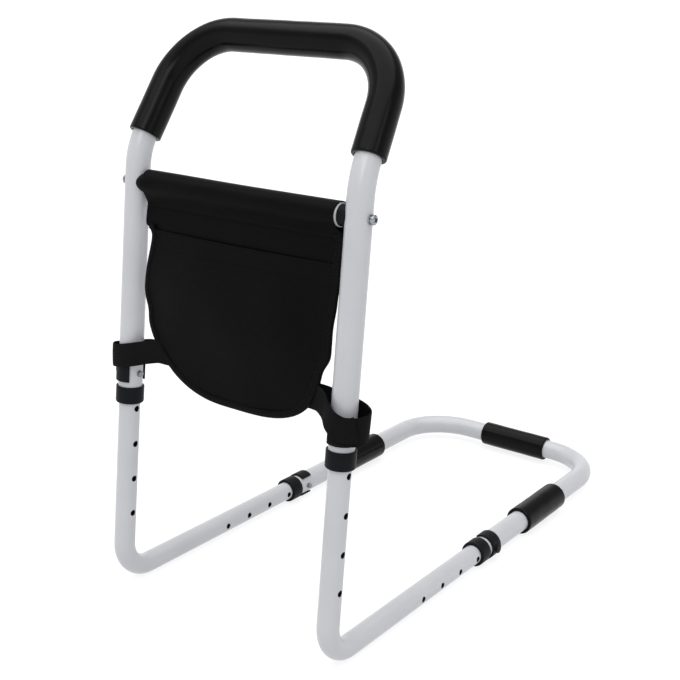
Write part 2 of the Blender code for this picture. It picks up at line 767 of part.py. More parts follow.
for side, way in (("left", -1), ("right", 1)):
    make_leg(side, way)
    piece(
        f"upright_collar_{side}",
        turned_mesh("collar", collar_profile(), TURNED_SIDES),
        PLASTIC,
        uprights[side],
        (0, 0, UPRIGHT_COLLAR),
    )
    piece(
        f"base_collar_{side}",
        turned_mesh("collar", collar_profile(), TURNED_SIDES),
        PLASTIC,
        arms[side],
        (0, 0, ARM_COLLAR),
    )
    make_clip("upright", side, way, uprights[side], UPRIGHT_PIN)
    make_clip("base", side, way, arms[side], ARM_PIN)
make_hand_bar()
make_grip()
make_crossbar(uprights)
make_base()
hang_point = Vector((0, 0, INNER_R)) + UP * CROSS_HEIGHT
pouch_hang = empty("pouch_hang", level, hang_point, (-TIP, 0, 0))
make_pouch(pouch_hang)
make_strap("left", -1, STRAP_LEFT, STRAP_OUT_LEFT)
make_strap("right", 1, STRAP_RIGHT, STRAP_OUT_RIGHT)
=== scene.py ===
"""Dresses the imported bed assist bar: painted tubes, fittings, foam, the hanging pouch and its straps."""
from math import asin, ceil, cos, pi, radians, sin, tan

import bmesh
import bpy
import numpy as np
from bpy.props import FloatProperty, FloatVectorProperty, PointerProperty
from mathutils import Euler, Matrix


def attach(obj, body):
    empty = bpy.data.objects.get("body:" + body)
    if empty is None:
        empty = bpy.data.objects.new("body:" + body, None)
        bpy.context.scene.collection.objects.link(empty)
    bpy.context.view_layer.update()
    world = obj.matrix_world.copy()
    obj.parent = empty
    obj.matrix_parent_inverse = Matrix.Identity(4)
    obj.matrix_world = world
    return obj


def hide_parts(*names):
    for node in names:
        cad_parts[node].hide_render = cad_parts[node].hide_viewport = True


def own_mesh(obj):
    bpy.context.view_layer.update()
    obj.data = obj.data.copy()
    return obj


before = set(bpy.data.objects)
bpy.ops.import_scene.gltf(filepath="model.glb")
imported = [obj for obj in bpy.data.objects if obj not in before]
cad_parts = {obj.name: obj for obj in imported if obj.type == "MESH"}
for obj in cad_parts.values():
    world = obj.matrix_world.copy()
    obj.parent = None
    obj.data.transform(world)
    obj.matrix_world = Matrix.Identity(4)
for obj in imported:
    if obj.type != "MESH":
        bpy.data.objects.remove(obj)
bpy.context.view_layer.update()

bl_info = {
    "name": "Bed assist bar",
    "version": (1, 0, 0),
    "blender": (4, 5, 0),
    "location": "3D Viewport > Sidebar > Bed bar",
    "description": "Makes the tubes, fittings, foam, pouch and straps of a bed assist bar",
    "category": "Object",
}

# Tubes, in metres, as in the part's source
OUTER_R = 0.0125
INNER_R = 0.011
TUBE_WALL = 0.0012
TRACK = 0.272
LEAN = radians(4.0)
LEG_BEND_RADIUS = 0.035
LEG_TOP = 0.262
LEG_REACH = 0.385
HOLE_PITCH = 0.0385
UPRIGHT_PIN = 0.2275
ARM_PIN = 0.313
UPRIGHT_HOLES = 5
ARM_HOLES = 6
BAR_KINK = 0.4594
BAR_KINK_RADIUS = 0.080
BAR_TOP_HALF = 0.1278
BAR_TOP_BACK = 0.0987
BAR_TOP_HEIGHT = 0.5814
BAR_TOP_RADIUS = 0.0644
CROSS_HEIGHT = 0.4257
CROSS_R = 0.011
CROSS_HALF = 0.118
PLUG_STEM = 0.022
BASE_BACK = 0.628
BASE_RADIUS = 0.070
PIN_HOLE_R = 0.0033
SCREW_HOLE_R = 0.0028
GAP = 0.0003
# The scene's own: the tubes' eased ends, the sides of a round, and the length of a hole's cutter
TUBE_EASE = 0.0003
TUBE_SIDES = 64
HOLE_CUT = 0.04

# Foam
GRIP_R = 0.0165
GRIP_DROP = 0.113
GRIP_SHIFT = 0.0031
GRIP_SHOULDER = 0.0014
GRIP_RIPPLE = 0.00010
FOAM_R = 0.0165
FOAM_LENGTH = 0.097
FOAM_SQUASH = 0.0003
LEFT_FOAM = 0.388
RIGHT_FOAM = 0.393
FAR_FOAM_CENTRE = 0.009
FAR_FOAM_THINNER = 0.0004
SLEEVE_SHOULDER = 0.0022
SLEEVE_RIPPLE = 0.00012
FOAM_END_EASE = 0.0006
FOAM_PACE = 0.0015
FOAM_SIDES = 72
FLOOR_CLEARANCE = 0.00005

# Fittings
SLEEVE_R = OUTER_R + GAP
EDGE_EASE = 0.0003
COLLAR_R = 0.0145
COLLAR_LENGTH = 0.018
COLLAR_LIP = 0.0025
COLLAR_ROUND = 0.0020
COLLAR_RIM = 0.0006
UPRIGHT_COLLAR = 0.195
ARM_COLLAR = 0.2805
CLIP_WALL = 0.0021
CLIP_LENGTH = 0.0175
CLIP_OPENING = radians(50.0)
CLIP_BOSS_R = 0.0052
CLIP_BOSS_HEIGHT = 0.0022
CLIP_EASE = 0.0006
PIN_R = 0.003
PIN_PAST_TUBE = 0.0038
PIN_DOME = 0.0012
PIN_GROOVES = 3
GROOVE_PITCH = 0.0011
GROOVES_START = 0.0013
GROOVE_DEPTH = 0.00090
WASHER_R = 0.0046
WASHER_HEIGHT = 0.0013
WASHER_HALF_GAP = radians(8)
# Shares of the washer's height: the height of its section, and how far each end stands off
WASHER_FILL = 0.84
WASHER_RISE = 0.08
HEAD_R = 0.00475
HEAD_HEIGHT = 0.0037
SCREW_R = 0.0025
SCREW_DEPTH = 0.014
THREADS = 14
THREAD_DEPTH = 0.0002
# The screw's cross recess at its mouth and its floor: height past the head, half length and half width
RECESS = ((0.0003, 0.0028, 0.00075), (-0.0022, 0.0018, 0.00065))
RECESS_TURNS = (radians(40), radians(130))
PLUG_NECK_STEP = 0.0008
PLUG_CHAMFER = 0.001
PLUG_EASE = 0.0004

# Pouch, its places given from the cross bar's axis
SLEEVE_CLOTH_R = 0.0119
SLEEVE_RIGHT = 0.1168
POUCH_LEFT = 0.1185
POUCH_RIGHT = 0.1166
POUCH_SIDE = 0.110
POUCH_DEPTH = 0.2046
SEAM_DEPTH = 0.0195
POCKET_TOP = 0.0452
POCKET_INSET = 0.0025
FOOT_INSET = 0.004
LEAN_FROM = 0.012
PANEL_FRONT = 0.0006
PANEL_COLUMNS = 121
# The share of the pocket's folds that the panel and its binding show
PANEL_FOLDS = 0.7
# The powers of the superellipse that rounds the foot
LEFT_POWER = 2.5
RIGHT_POWER = 3.5
HEM = 0.017
TAPE = 0.0007
STITCH_TO_EDGE = 0.0017
STITCH_LENGTH = 0.0023
STITCH_RISE = 0.00035
THREAD_R = 0.00028

# The layout's small tip about the legs' corners, and the shift that centres the part
LEG_RUN = LEG_BEND_RADIUS * tan((pi / 2 + LEAN) / 2)
TIP = asin((FOAM_R - FOAM_SQUASH - INNER_R) / (LEFT_FOAM - LEG_RUN))
TIP_SINK = (LEG_BEND_RADIUS + INNER_R) * (1 - cos(TIP))
PART_CENTRE = (LEG_RUN * sin(LEAN) - INNER_R + BASE_BACK + FOAM_R) / 2
TURN = np.array([[1, 0, 0], [0, cos(TIP), -sin(TIP)], [0, sin(TIP), cos(TIP)]])
SHIFT = np.array([0, LEG_RUN - PART_CENTRE, TIP_SINK]) - TURN @ np.array([0, LEG_RUN, 0])
ACROSS = np.array([1.0, 0.0, 0.0])
UP = np.array([0.0, sin(LEAN), cos(LEAN)])
ALONG = np.array([0.0, 1.0, 0.0])
CORNER = np.array([TRACK / 2, 0.0, INNER_R])
BAR_TOP = np.array([BAR_TOP_HALF, BAR_TOP_BACK, BAR_TOP_HEIGHT])
# Along none of the tubes, so that it can be turned square to any of them
ASKEW = np.array([0.31, -0.62, 0.72])
# The uprights' direction in the part's frame
UPWARD = TURN @ UP

# The camera, fitted to the tubes' edges and holes in the photograph
CAMERA_PLACE = (0.706157, -1.122026, 0.614939)
CAMERA_TURN = (1.317439, -0.039663, 0.627165)
CAMERA_LENS = 61.5946
CAMERA_SHIFT = -0.05
SENSOR = 36.0
# The level direction from the camera to the part
VIEW_HEADING = (-0.53, 0.85, 0.0)
FLOOR_HALF = 60.0


# Places and surfaces


def placed(points):
    """Working-frame places in the part's frame: a turn by TIP about X, then a shift."""
    return np.asarray(points) @ TURN.T + SHIFT


def mirrored(way, place):
    """A working-frame place on the right-hand side (way 1) or its mirror on the left (way -1)."""
    return np.array(place) * [way, 1.0, 1.0]


def on_upright(way, height):
    """The place on an upright's axis: its corner plus the height along the lean."""
    return mirrored(way, CORNER) + UP * height


def on_arm(way, reach):
    """The place on a floor arm's axis: its corner plus the reach backwards."""
    return mirrored(way, CORNER) + ALONG * reach


def smoothstep(value, start, end):
    """0 before start, 1 after end, and 3t^2 - 2t^3 between them."""
    t = np.clip((value - start) / (end - start), 0, 1)
    return t * t * (3 - 2 * t)


def rounded_path(corners, radii, pace=0.002):
    """Straight runs joined by arcs. An arc touches both runs: its centre lies on the corner's bisector at
    radius / sin(half angle), and its places are that centre plus the turned first spoke."""
    corners = [np.asarray(corner, float) for corner in corners]
    knots = [corners[0]]
    runs = []
    for before, corner, after, radius in zip(corners, corners[1:], corners[2:], radii):
        back = (before - corner) / np.linalg.norm(before - corner)
        ahead = (after - corner) / np.linalg.norm(after - corner)
        half = np.arccos(back @ ahead) / 2
        bisector = (back + ahead) / np.linalg.norm(back + ahead)
        centre = corner + bisector * radius / sin(half)
        first = corner + back * radius / tan(half) - centre
        last = corner + ahead * radius / tan(half) - centre
        turn = pi - 2 * half
        share = np.linspace(0, 1, ceil(radius * turn / pace) + 1)[:, None]
        arc = centre + (np.sin((1 - share) * turn) * first + np.sin(share * turn) * last) / sin(turn)
        runs += [(knots[-1], arc[0]), arc]
        knots.append(arc[-1])
    runs.append((knots[-1], corners[-1]))
    parts = []
    for run in runs:
        if isinstance(run, tuple):
            start, end = run
            share = np.linspace(0, 1, ceil(np.linalg.norm(end - start) / pace) + 1)[:, None]
            run = start + (end - start) * share
        parts.append(run[:-1])
    return np.vstack(parts + [corners[-1][None]])


def lengths_along(path):
    """The distance run at each place of a path."""
    return np.concatenate([[0], np.cumsum(np.linalg.norm(np.diff(path, axis=0), axis=1))])


def at_length(path, values, s):
    """Values known at each place of a path, read at the distances s along it."""
    run = lengths_along(path)
    return np.stack([np.interp(s, run, values[:, k]) for k in range(values.shape[1])], -1)


def unit(vectors):
    """Vectors, one to a row, at length 1."""
    return vectors / np.linalg.norm(vectors, axis=1, keepdims=True)


def axes_along(path, s, reference):
    """At the distances s: the centre, and two unit directions square to the path. The first is the
    reference less its share along the path, and the second is the path's direction crossed with it."""
    heading = unit(at_length(path, np.gradient(path, lengths_along(path), axis=0), s))
    first = unit(reference - heading * (heading @ reference)[:, None])
    return at_length(path, path, s), first, np.cross(heading, first)


def ring_form(path, reference, s, r, sides, swell=None):
    """A half section carried along a path and turned round it. Section point k lies at the distance s[k]
    along the path and r[k] from it: place = centre + r (first cos a + second sin a). swell(s, a) adds
    to r."""
    s = np.asarray(s)
    angle = np.arange(sides) * 2 * pi / sides
    centre, first, second = axes_along(path, s, np.asarray(reference, float))
    spoke = first[:, None] * np.cos(angle)[:, None] + second[:, None] * np.sin(angle)[:, None]
    radius = np.asarray(r)[:, None] + (swell(s[:, None], angle[None]) if swell else 0)
    return centre[:, None] + spoke * radius[..., None]


def pairs(first, second):
    """The grid of every value of the first with every value of the second."""
    return np.stack(np.meshgrid(first, second, indexing="ij"), -1)


def grid_faces(rows, columns, wrap_rows, wrap_columns):
    """The quads that join each place of a grid to the next row and column."""
    row = np.arange(rows if wrap_rows else rows - 1)[:, None]
    column = np.arange(columns if wrap_columns else columns - 1)[None]
    next_row, next_column = (row + 1) % rows, (column + 1) % columns
    faces = [row * columns + column, row * columns + next_column]
    faces += [next_row * columns + next_column, next_row * columns + column]
    return np.stack(faces, -1).reshape(-1, 4)


def grid_mesh(name, places, wrap_rows=False, wrap_columns=False, weave=None, inside=None):
    """A mesh through a grid of places. weave gives each place's (u, v) in metres, and inside marks the rows
    whose faces take the second material."""
    rows, columns = places.shape[:2]
    faces = grid_faces(rows, columns, wrap_rows, wrap_columns)
    mesh = bpy.data.meshes.new(name)
    mesh.from_pydata(places.reshape(-1, 3), [], faces.tolist())
    if weave is not None:
        mesh.uv_layers.new(name="weave").data.foreach_set("uv", weave.reshape(-1, 2)[faces.ravel()].ravel())
    if inside is not None:
        marks = np.repeat(np.asarray(inside, np.int32), columns)[: len(faces)]
        mesh.polygons.foreach_set("material_index", marks)
    return mesh


def merged(name, meshes):
    """One mesh that holds several, with the places that meet joined and the faces turned outwards."""
    shape = bmesh.new()
    for mesh in meshes:
        shape.from_mesh(mesh)
        bpy.data.meshes.remove(mesh)
    bmesh.ops.remove_doubles(shape, verts=shape.verts, dist=1e-7)
    bmesh.ops.recalc_face_normals(shape, faces=shape.faces)
    mesh = bpy.data.meshes.new(name)
    shape.to_mesh(mesh)
    shape.free()
    return mesh


def ends_filled(mesh, sides):
    """A mesh with its open ends of so many sides closed, and its faces turned outwards."""
    shape = bmesh.new()
    shape.from_mesh(mesh)
    bmesh.ops.holes_fill(shape, edges=shape.edges, sides=sides)
    bmesh.ops.recalc_face_normals(shape, faces=shape.faces)
    shape.to_mesh(mesh)
    shape.free()
    return mesh


def piece(name, mesh, finishes, body, node_name=None, sharp=35):
    """Shows a mesh as a named piece that rides on a CAD body, and stands in for a CAD node where one is
    named."""
    item = bpy.data.objects.new(name, mesh)
    bpy.context.scene.collection.objects.link(item)
    for kind in finishes:
        mesh.materials.append(finish(kind))
    mesh.shade_smooth()
    mesh.set_sharp_from_angle(angle=radians(sharp))
    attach(item, body)
    if node_name:
        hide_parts(node_name)
    return item


def add_wall(item, thickness):
    """Gives a thin sheet its thickness, half to each side."""
    wall = item.modifiers.new("wall", "SOLIDIFY")
    wall.thickness = thickness
    wall.offset = 0


def finished(item):
    """Applies a piece's modifiers to its mesh."""
    bpy.context.view_layer.update()
    graph = bpy.context.evaluated_depsgraph_get()
    mesh = bpy.data.meshes.new_from_object(item.evaluated_get(graph))
    item.modifiers.clear()
    item.data = mesh
    mesh.shade_smooth()
    return item


def cut(item, cutters, operation="DIFFERENCE"):
    """Takes closed shapes out of a piece, or joins them on, and marks its edges again. The new faces take
    the piece's last finish."""
    shape = bpy.data.objects.new("cutter", merged("cutter", cutters))
    bpy.context.scene.collection.objects.link(shape)
    for material in item.data.materials:
        shape.data.materials.append(material)
    marks = np.full(len(shape.data.polygons), len(item.data.materials) - 1)
    shape.data.polygons.foreach_set("material_index", marks)
    step = item.modifiers.new("cut", "BOOLEAN")
    step.operation = operation
    step.solver = "EXACT"
    step.object = shape
    finished(item)
    item.data.set_sharp_from_angle(angle=radians(28))
    bpy.data.objects.remove(shape, do_unlink=True)


def rod(centre, direction, radius, length, sides):
    """A closed cylinder: a section of two poles and two rims turned round its axis."""
    half = np.asarray(direction, float) * length / 2
    path = np.array([centre - half, centre, centre + half])
    reference = UP if abs(direction[0]) > 0.5 else ACROSS
    s = [0, 0, length, length]
    places = ring_form(path, reference, s, [0, radius, radius, 0], sides)
    return merged("rod", [grid_mesh("rod", places, wrap_columns=True)])


# Finishes


def linear(code):
    """An sRGB hex value as linear light with full opacity."""
    value = np.array([int(code[k : k + 2], 16) for k in (1, 3, 5)]) / 255
    value = np.where(value <= 0.04045, value / 12.92, ((value + 0.055) / 1.055) ** 2.4)
    return (*value, 1.0)


def toned(colour, share):
    """A colour made darker or lighter by a share."""
    return (*(np.array(colour[:3]) * share), 1.0)


def wire(tree, target, links):
    """Gives each named input of a node a value or another node's output."""
    for key, value in links.items():
        socket = target.inputs[key]
        if isinstance(value, bpy.types.NodeSocket):
            tree.links.new(value, socket)
        else:
            socket.default_value = value


def node(tree, kind, links=None, **settings):
    """Adds a node with its own settings, and wires its inputs."""
    made = tree.nodes.new("ShaderNode" + kind)
    for key, value in settings.items():
        setattr(made, key, value)
    wire(tree, made, links or {})
    return made


def new_finish(name, kind="TexCoord", output="Object", **settings):
    """Starts a material, and returns it with its node tree, its shader, and the places that its patterns
    read: the piece's own, unless another kind of node is named for them."""
    finish = bpy.data.materials.new(name)
    finish.use_nodes = True
    tree = finish.node_tree
    return finish, tree, tree.nodes["Principled BSDF"], node(tree, kind, **settings).outputs[output]


def powder_coat(colour):
    """Polyester powder coat, sprayed on steel and baked: near-white, even, with a shallow orange peel that
    softens the edge of each highlight."""
    finish, tree, shader, place = new_finish("powder_coat_off_white")
    # Orange peel has waves about 1.6 mm long.
    peel = node(tree, "TexNoise", {"Vector": place, "Scale": 620.0, "Detail": 1.0}).outputs[0]
    # The coat's thickness, and so its tone, drifts over about 60 mm.
    drift = node(tree, "TexNoise", {"Vector": place, "Scale": 16.0, "Detail": 2.0}).outputs[0]
    even = node(tree, "MapRange", {0: drift, 1: 0.3, 2: 0.7}).outputs[0]
    tones = {0: even, 6: toned(colour, 0.97), 7: toned(colour, 1.03)}
    wire(tree, shader, {
        "Base Color": node(tree, "Mix", tones, data_type="RGBA").outputs[2],
        "Roughness": node(tree, "MapRange", {0: drift, 3: 0.26, 4: 0.34}).outputs[0],
        "IOR": 1.52,
        "Coat Weight": 0.10,
        "Coat Roughness": 0.12,
        "Normal": node(tree, "Bump", {"Strength": 0.12, "Distance": 0.0004, "Height": peel}).outputs[0],
    })
    return finish


def bare_bore(colour):
    """Bare cold-rolled steel inside the tubes: dark grey and dull, with stains."""
    finish, tree, shader, place = new_finish("bare_steel_bore")
    # Stains are about 11 mm across.
    stain = node(tree, "TexNoise", {"Vector": place, "Scale": 90.0, "Detail": 3.0}).outputs[0]
    tones = {0: stain, 6: toned(colour, 0.6), 7: toned(colour, 1.6)}
    wire(tree, shader, {
        "Base Color": node(tree, "Mix", tones, data_type="RGBA").outputs[2],
        "Roughness": node(tree, "MapRange", {0: stain, 3: 0.55, 4: 0.75}).outputs[0],
        "Metallic": 0.6,
    })
    return finish


def moulded_plastic(colour):
    """Injection-moulded nylon, black with a fine spark-eroded grain that spreads its sheen."""
    finish, tree, shader, place = new_finish("moulded_black_nylon")
    # The grain is about 0.3 mm; it is drawn at 0.5 mm so that it shows.
    grain = node(tree, "TexNoise", {"Vector": place, "Scale": 2000.0, "Detail": 1.0}).outputs[0]
    # Handling leaves it cloudy over about 9 mm.
    cloud = node(tree, "TexNoise", {"Vector": place, "Scale": 110.0, "Detail": 2.0}).outputs[0]
    tones = {0: cloud, 6: toned(colour, 0.8), 7: toned(colour, 1.2)}
    wire(tree, shader, {
        "Base Color": node(tree, "Mix", tones, data_type="RGBA").outputs[2],
        "Roughness": node(tree, "MapRange", {0: cloud, 3: 0.40, 4: 0.50}).outputs[0],
        "IOR": 1.16,
        "Normal": node(tree, "Bump", {"Strength": 0.25, "Distance": 0.00008, "Height": grain}).outputs[0],
    })
    return finish


def zinc_plate(colour):
    """Bright zinc plate on steel: a blue-grey metal with fine marks, a little duller in patches."""
    finish, tree, shader, place = new_finish("zinc_plated_steel")
    # Duller patches are about 2 mm across, and the marks a quarter of a millimetre apart.
    patch = node(tree, "TexNoise", {"Vector": place, "Scale": 500.0, "Detail": 3.0}).outputs[0]
    marks = node(tree, "TexNoise", {"Vector": place, "Scale": 4000.0, "Detail": 1.0}).outputs[0]
    tones = {0: patch, 6: toned(colour, 0.75), 7: toned(colour, 1.25)}
    wire(tree, shader, {
        "Base Color": node(tree, "Mix", tones, data_type="RGBA").outputs[2],
        "Roughness": node(tree, "MapRange", {0: patch, 3: 0.14, 4: 0.28}).outputs[0],
        "Metallic": 1.0,
        "Normal": node(tree, "Bump", {"Strength": 0.15, "Distance": 0.00004, "Height": marks}).outputs[0],
    })
    return finish


def oiled_steel(colour):
    """Turned steel left bare and oiled: dark grey, with a duller film in patches."""
    finish, tree, shader, place = new_finish("oiled_turned_steel")
    # The film's patches are about 1.5 mm across.
    film = node(tree, "TexNoise", {"Vector": place, "Scale": 700.0, "Detail": 3.0}).outputs[0]
    tones = {0: film, 6: toned(colour, 0.6), 7: toned(colour, 1.4)}
    wire(tree, shader, {
        "Base Color": node(tree, "Mix", tones, data_type="RGBA").outputs[2],
        "Roughness": node(tree, "MapRange", {0: film, 3: 0.28, 4: 0.45}).outputs[0],
        "Metallic": 1.0,
        "Normal": node(tree, "Bump", {"Strength": 0.2, "Distance": 0.00004, "Height": film}).outputs[0],
    })
    return finish


def closed_cell_foam(colour):
    """Black nitrile foam, extruded: a smooth rubbery skin, slightly uneven and with pinholes, so that its
    highlight is soft and low."""
    finish, tree, shader, place = new_finish("black_nitrile_foam")
    # Pinholes are about 0.3 mm across; they are drawn 0.7 mm apart so that they show.
    cells = node(tree, "TexVoronoi", {"Vector": place, "Scale": 1400.0}).outputs["Distance"]
    # The skin is uneven over about 4 mm, and its tone drifts over about 25 mm.
    skin = node(tree, "TexNoise", {"Vector": place, "Scale": 260.0, "Detail": 3.0}).outputs[0]
    cloud = node(tree, "TexNoise", {"Vector": place, "Scale": 40.0, "Detail": 2.0}).outputs[0]
    pits = node(tree, "Bump", {"Strength": 0.22, "Distance": 0.00010, "Height": cells}).outputs[0]
    relief = {"Strength": 0.10, "Distance": 0.0005, "Height": skin, "Normal": pits}
    tones = {0: cloud, 6: toned(colour, 0.8), 7: toned(colour, 1.2)}
    wire(tree, shader, {
        "Base Color": node(tree, "Mix", tones, data_type="RGBA").outputs[2],
        "Roughness": node(tree, "MapRange", {0: cloud, 3: 0.19, 4: 0.24}).outputs[0],
        "IOR": 1.18,
        "Normal": node(tree, "Bump", relief).outputs[0],
    })
    return finish


def woven(name, colour, pitch, rough, height, ior=1.15):
    """A plain weave of the given thread pitch in metres on the piece's own weave map. Warp and weft are
    two rounded waves at right angles, and a checker of one thread lets each pass over the other in turn."""
    finish, tree, shader, place = new_finish(name, "UVMap", "UV", uv_map="weave")
    # A wave texture repeats 20 times in 2 pi at scale 1, and each thread passes over every second one.
    scale = 2 * pi / (20 * pitch * 2)
    warp = node(tree, "TexWave", {"Vector": place, "Scale": scale}, bands_direction="X").outputs[1]
    weft = node(tree, "TexWave", {"Vector": place, "Scale": scale}, bands_direction="Y").outputs[1]
    over = node(tree, "TexChecker", {"Vector": place, "Scale": 1 / pitch}).outputs[1]
    thread = node(tree, "Mix", {0: over, 2: warp, 3: weft}).outputs[0]
    # Slubs are about 6 mm long, and creases lie about 40 mm apart.
    slub = node(tree, "TexNoise", {"Vector": place, "Scale": 160.0, "Detail": 3.0}).outputs[0]
    crease = node(tree, "TexNoise", {"Vector": place, "Scale": 26.0, "Detail": 4.0}).outputs[0]
    tones = {0: slub, 6: toned(colour, 0.8), 7: toned(colour, 1.2)}
    tone = node(tree, "Mix", tones, data_type="RGBA").outputs[2]
    # Painted shade: the gaps between threads are darker than their crowns.
    painted_gap_shade = node(tree, "MapRange", {0: thread, 3: 0.35, 4: 0.0}).outputs[0]
    tone = node(tree, "Mix", {0: painted_gap_shade, 6: tone, 7: linear("#030304")}, data_type="RGBA").outputs[2]
    crowns = node(tree, "Bump", {"Strength": 0.55, "Distance": height, "Height": thread}).outputs[0]
    relief = {"Strength": 0.16, "Distance": 0.0022, "Height": crease, "Normal": crowns}
    wire(tree, shader, {
        "Base Color": tone,
        "Roughness": node(tree, "MapRange", {0: crease, 3: rough, 4: rough + 0.1}).outputs[0],
        "IOR": ior,
        "Normal": node(tree, "Bump", relief).outputs[0],
    })
    return finish


def coated_oxford(colour):
    """Coated 600-denier polyester: threads 0.45 mm apart, drawn at 0.8 mm so that they show."""
    return woven("coated_oxford_polyester", colour, 0.0008, 0.38, 0.00012, 1.12)


def binding_tape(colour):
    """Grosgrain tape, whose ribs stand 0.9 mm apart."""
    return woven("grosgrain_binding_tape", toned(colour, 1.1), 0.0009, 0.55, 0.00020)


def loop_webbing(colour):
    """Brushed hook-and-loop webbing, its ribs 1.3 mm apart."""
    return woven("brushed_loop_webbing", colour, 0.0013, 0.72, 0.00025)


def sewing_thread(colour):
    """Twisted polyester thread, black with a slight shine along its twist, partly painted into its colour
    as a lighter tone on each turn.
    """
    finish, tree, shader, place = new_finish("black_sewing_thread")
    # The twist turns once in about 0.45 mm.
    twist = node(tree, "TexWave", {"Vector": place, "Scale": 700.0, "Distortion": 1.0}).outputs[1]
    # Painted sheen and shade: the colour lightens on each turn of the twist and darkens between them.
    tones = {0: twist, 6: toned(colour, 0.8), 7: toned(colour, 1.4)}
    wire(tree, shader, {
        "Base Color": node(tree, "Mix", tones, data_type="RGBA").outputs[2],
        "Roughness": node(tree, "MapRange", {0: twist, 3: 0.42, 4: 0.6}).outputs[0],
        "Specular IOR Level": 0.08,
        "Normal": node(tree, "Bump", {"Strength": 0.4, "Distance": 0.0001, "Height": twist}).outputs[0],
    })
    return finish


def studio_floor(colour):
    """An opal sheet lit from below, so that it is pale and its shadows stay faint: matt, with a barely
    visible mottle."""
    finish, tree, shader, place = new_finish("studio_floor_white")
    # The mottle is about 250 mm across.
    mottle = node(tree, "TexNoise", {"Vector": place, "Scale": 4.0, "Detail": 2.0}).outputs[0]
    tones = {0: mottle, 6: toned(colour, 0.18), 7: toned(colour, 0.20)}
    wire(tree, shader, {
        "Base Color": node(tree, "Mix", tones, data_type="RGBA").outputs[2],
        "Roughness": node(tree, "MapRange", {0: mottle, 3: 0.7, 4: 0.8}).outputs[0],
        "Emission Color": colour,
        "Emission Strength": 0.88,
    })
    return finish


# Each finish's maker, the setting that holds its colour, and its material slot in the record
MAKERS = {
    "powder": (powder_coat, "coat_colour", "powder_coat"),
    "bore": (bare_bore, "bore_colour", "powder_coat"),
    "plastic": (moulded_plastic, "plastic_colour", "black_plastic"),
    "zinc": (zinc_plate, "hardware_colour", "zinc_steel"),
    "steel": (oiled_steel, "pin_colour", "zinc_steel"),
    "foam": (closed_cell_foam, "foam_colour", "black_foam"),
    "oxford": (coated_oxford, "cloth_colour", "black_weave"),
    "tape": (binding_tape, "cloth_colour", "black_weave"),
    "thread": (sewing_thread, "cloth_colour", "black_weave"),
    "webbing": (loop_webbing, "webbing_colour", "black_weave"),
    "floor": (studio_floor, "floor_colour", None),
}
FINISHES = {}


def finish(name):
    """A finish in its present colour, made the first time that it is asked for."""
    maker, setting = MAKERS[name][:2]
    colour = tuple(getattr(bpy.context.scene.bed_bar, setting))
    if (name, colour) not in FINISHES:
        FINISHES[name, colour] = maker(colour)
    return FINISHES[name, colour]


# Tubes


CROSS_MIDDLE = (on_upright(-1, CROSS_HEIGHT) + on_upright(1, CROSS_HEIGHT)) / 2


def tube(name, path, radius, body, node_name, cutters=()):
    """A painted tube: an outer skin, its eased ends, and a bare bore behind them."""
    run = lengths_along(path)
    total = run[-1]
    nick = TUBE_EASE * 0.3
    skin = run[(run > TUBE_EASE * 2) & (run < total - TUBE_EASE * 2)]
    end = [total - TUBE_EASE, total - nick, total]
    s = np.concatenate([[0, nick, TUBE_EASE], skin, end, [total], skin[::-1], [0]])
    outer_rows = len(skin) + 6
    r = np.full(len(s), radius)
    r[[0, outer_rows - 1]] = radius - TUBE_EASE
    r[[1, outer_rows - 2]] = radius - nick
    r[outer_rows:] = radius - TUBE_WALL
    inside = np.arange(len(s)) >= outer_rows
    inside[-1] = False
    places = ring_form(placed(path), ASKEW, s, r, TUBE_SIDES)
    mesh = merged(name, [grid_mesh(name, places, True, True, inside=inside)])
    item = piece(name, mesh, ["powder", "bore"], body, node_name, 28)
    if cutters:
        cut(item, cutters)


def cross_hole(place, radius):
    """A cutter for a hole that runs across the part through a working-frame place."""
    return rod(placed(place), ACROSS, radius, HOLE_CUT, 28)


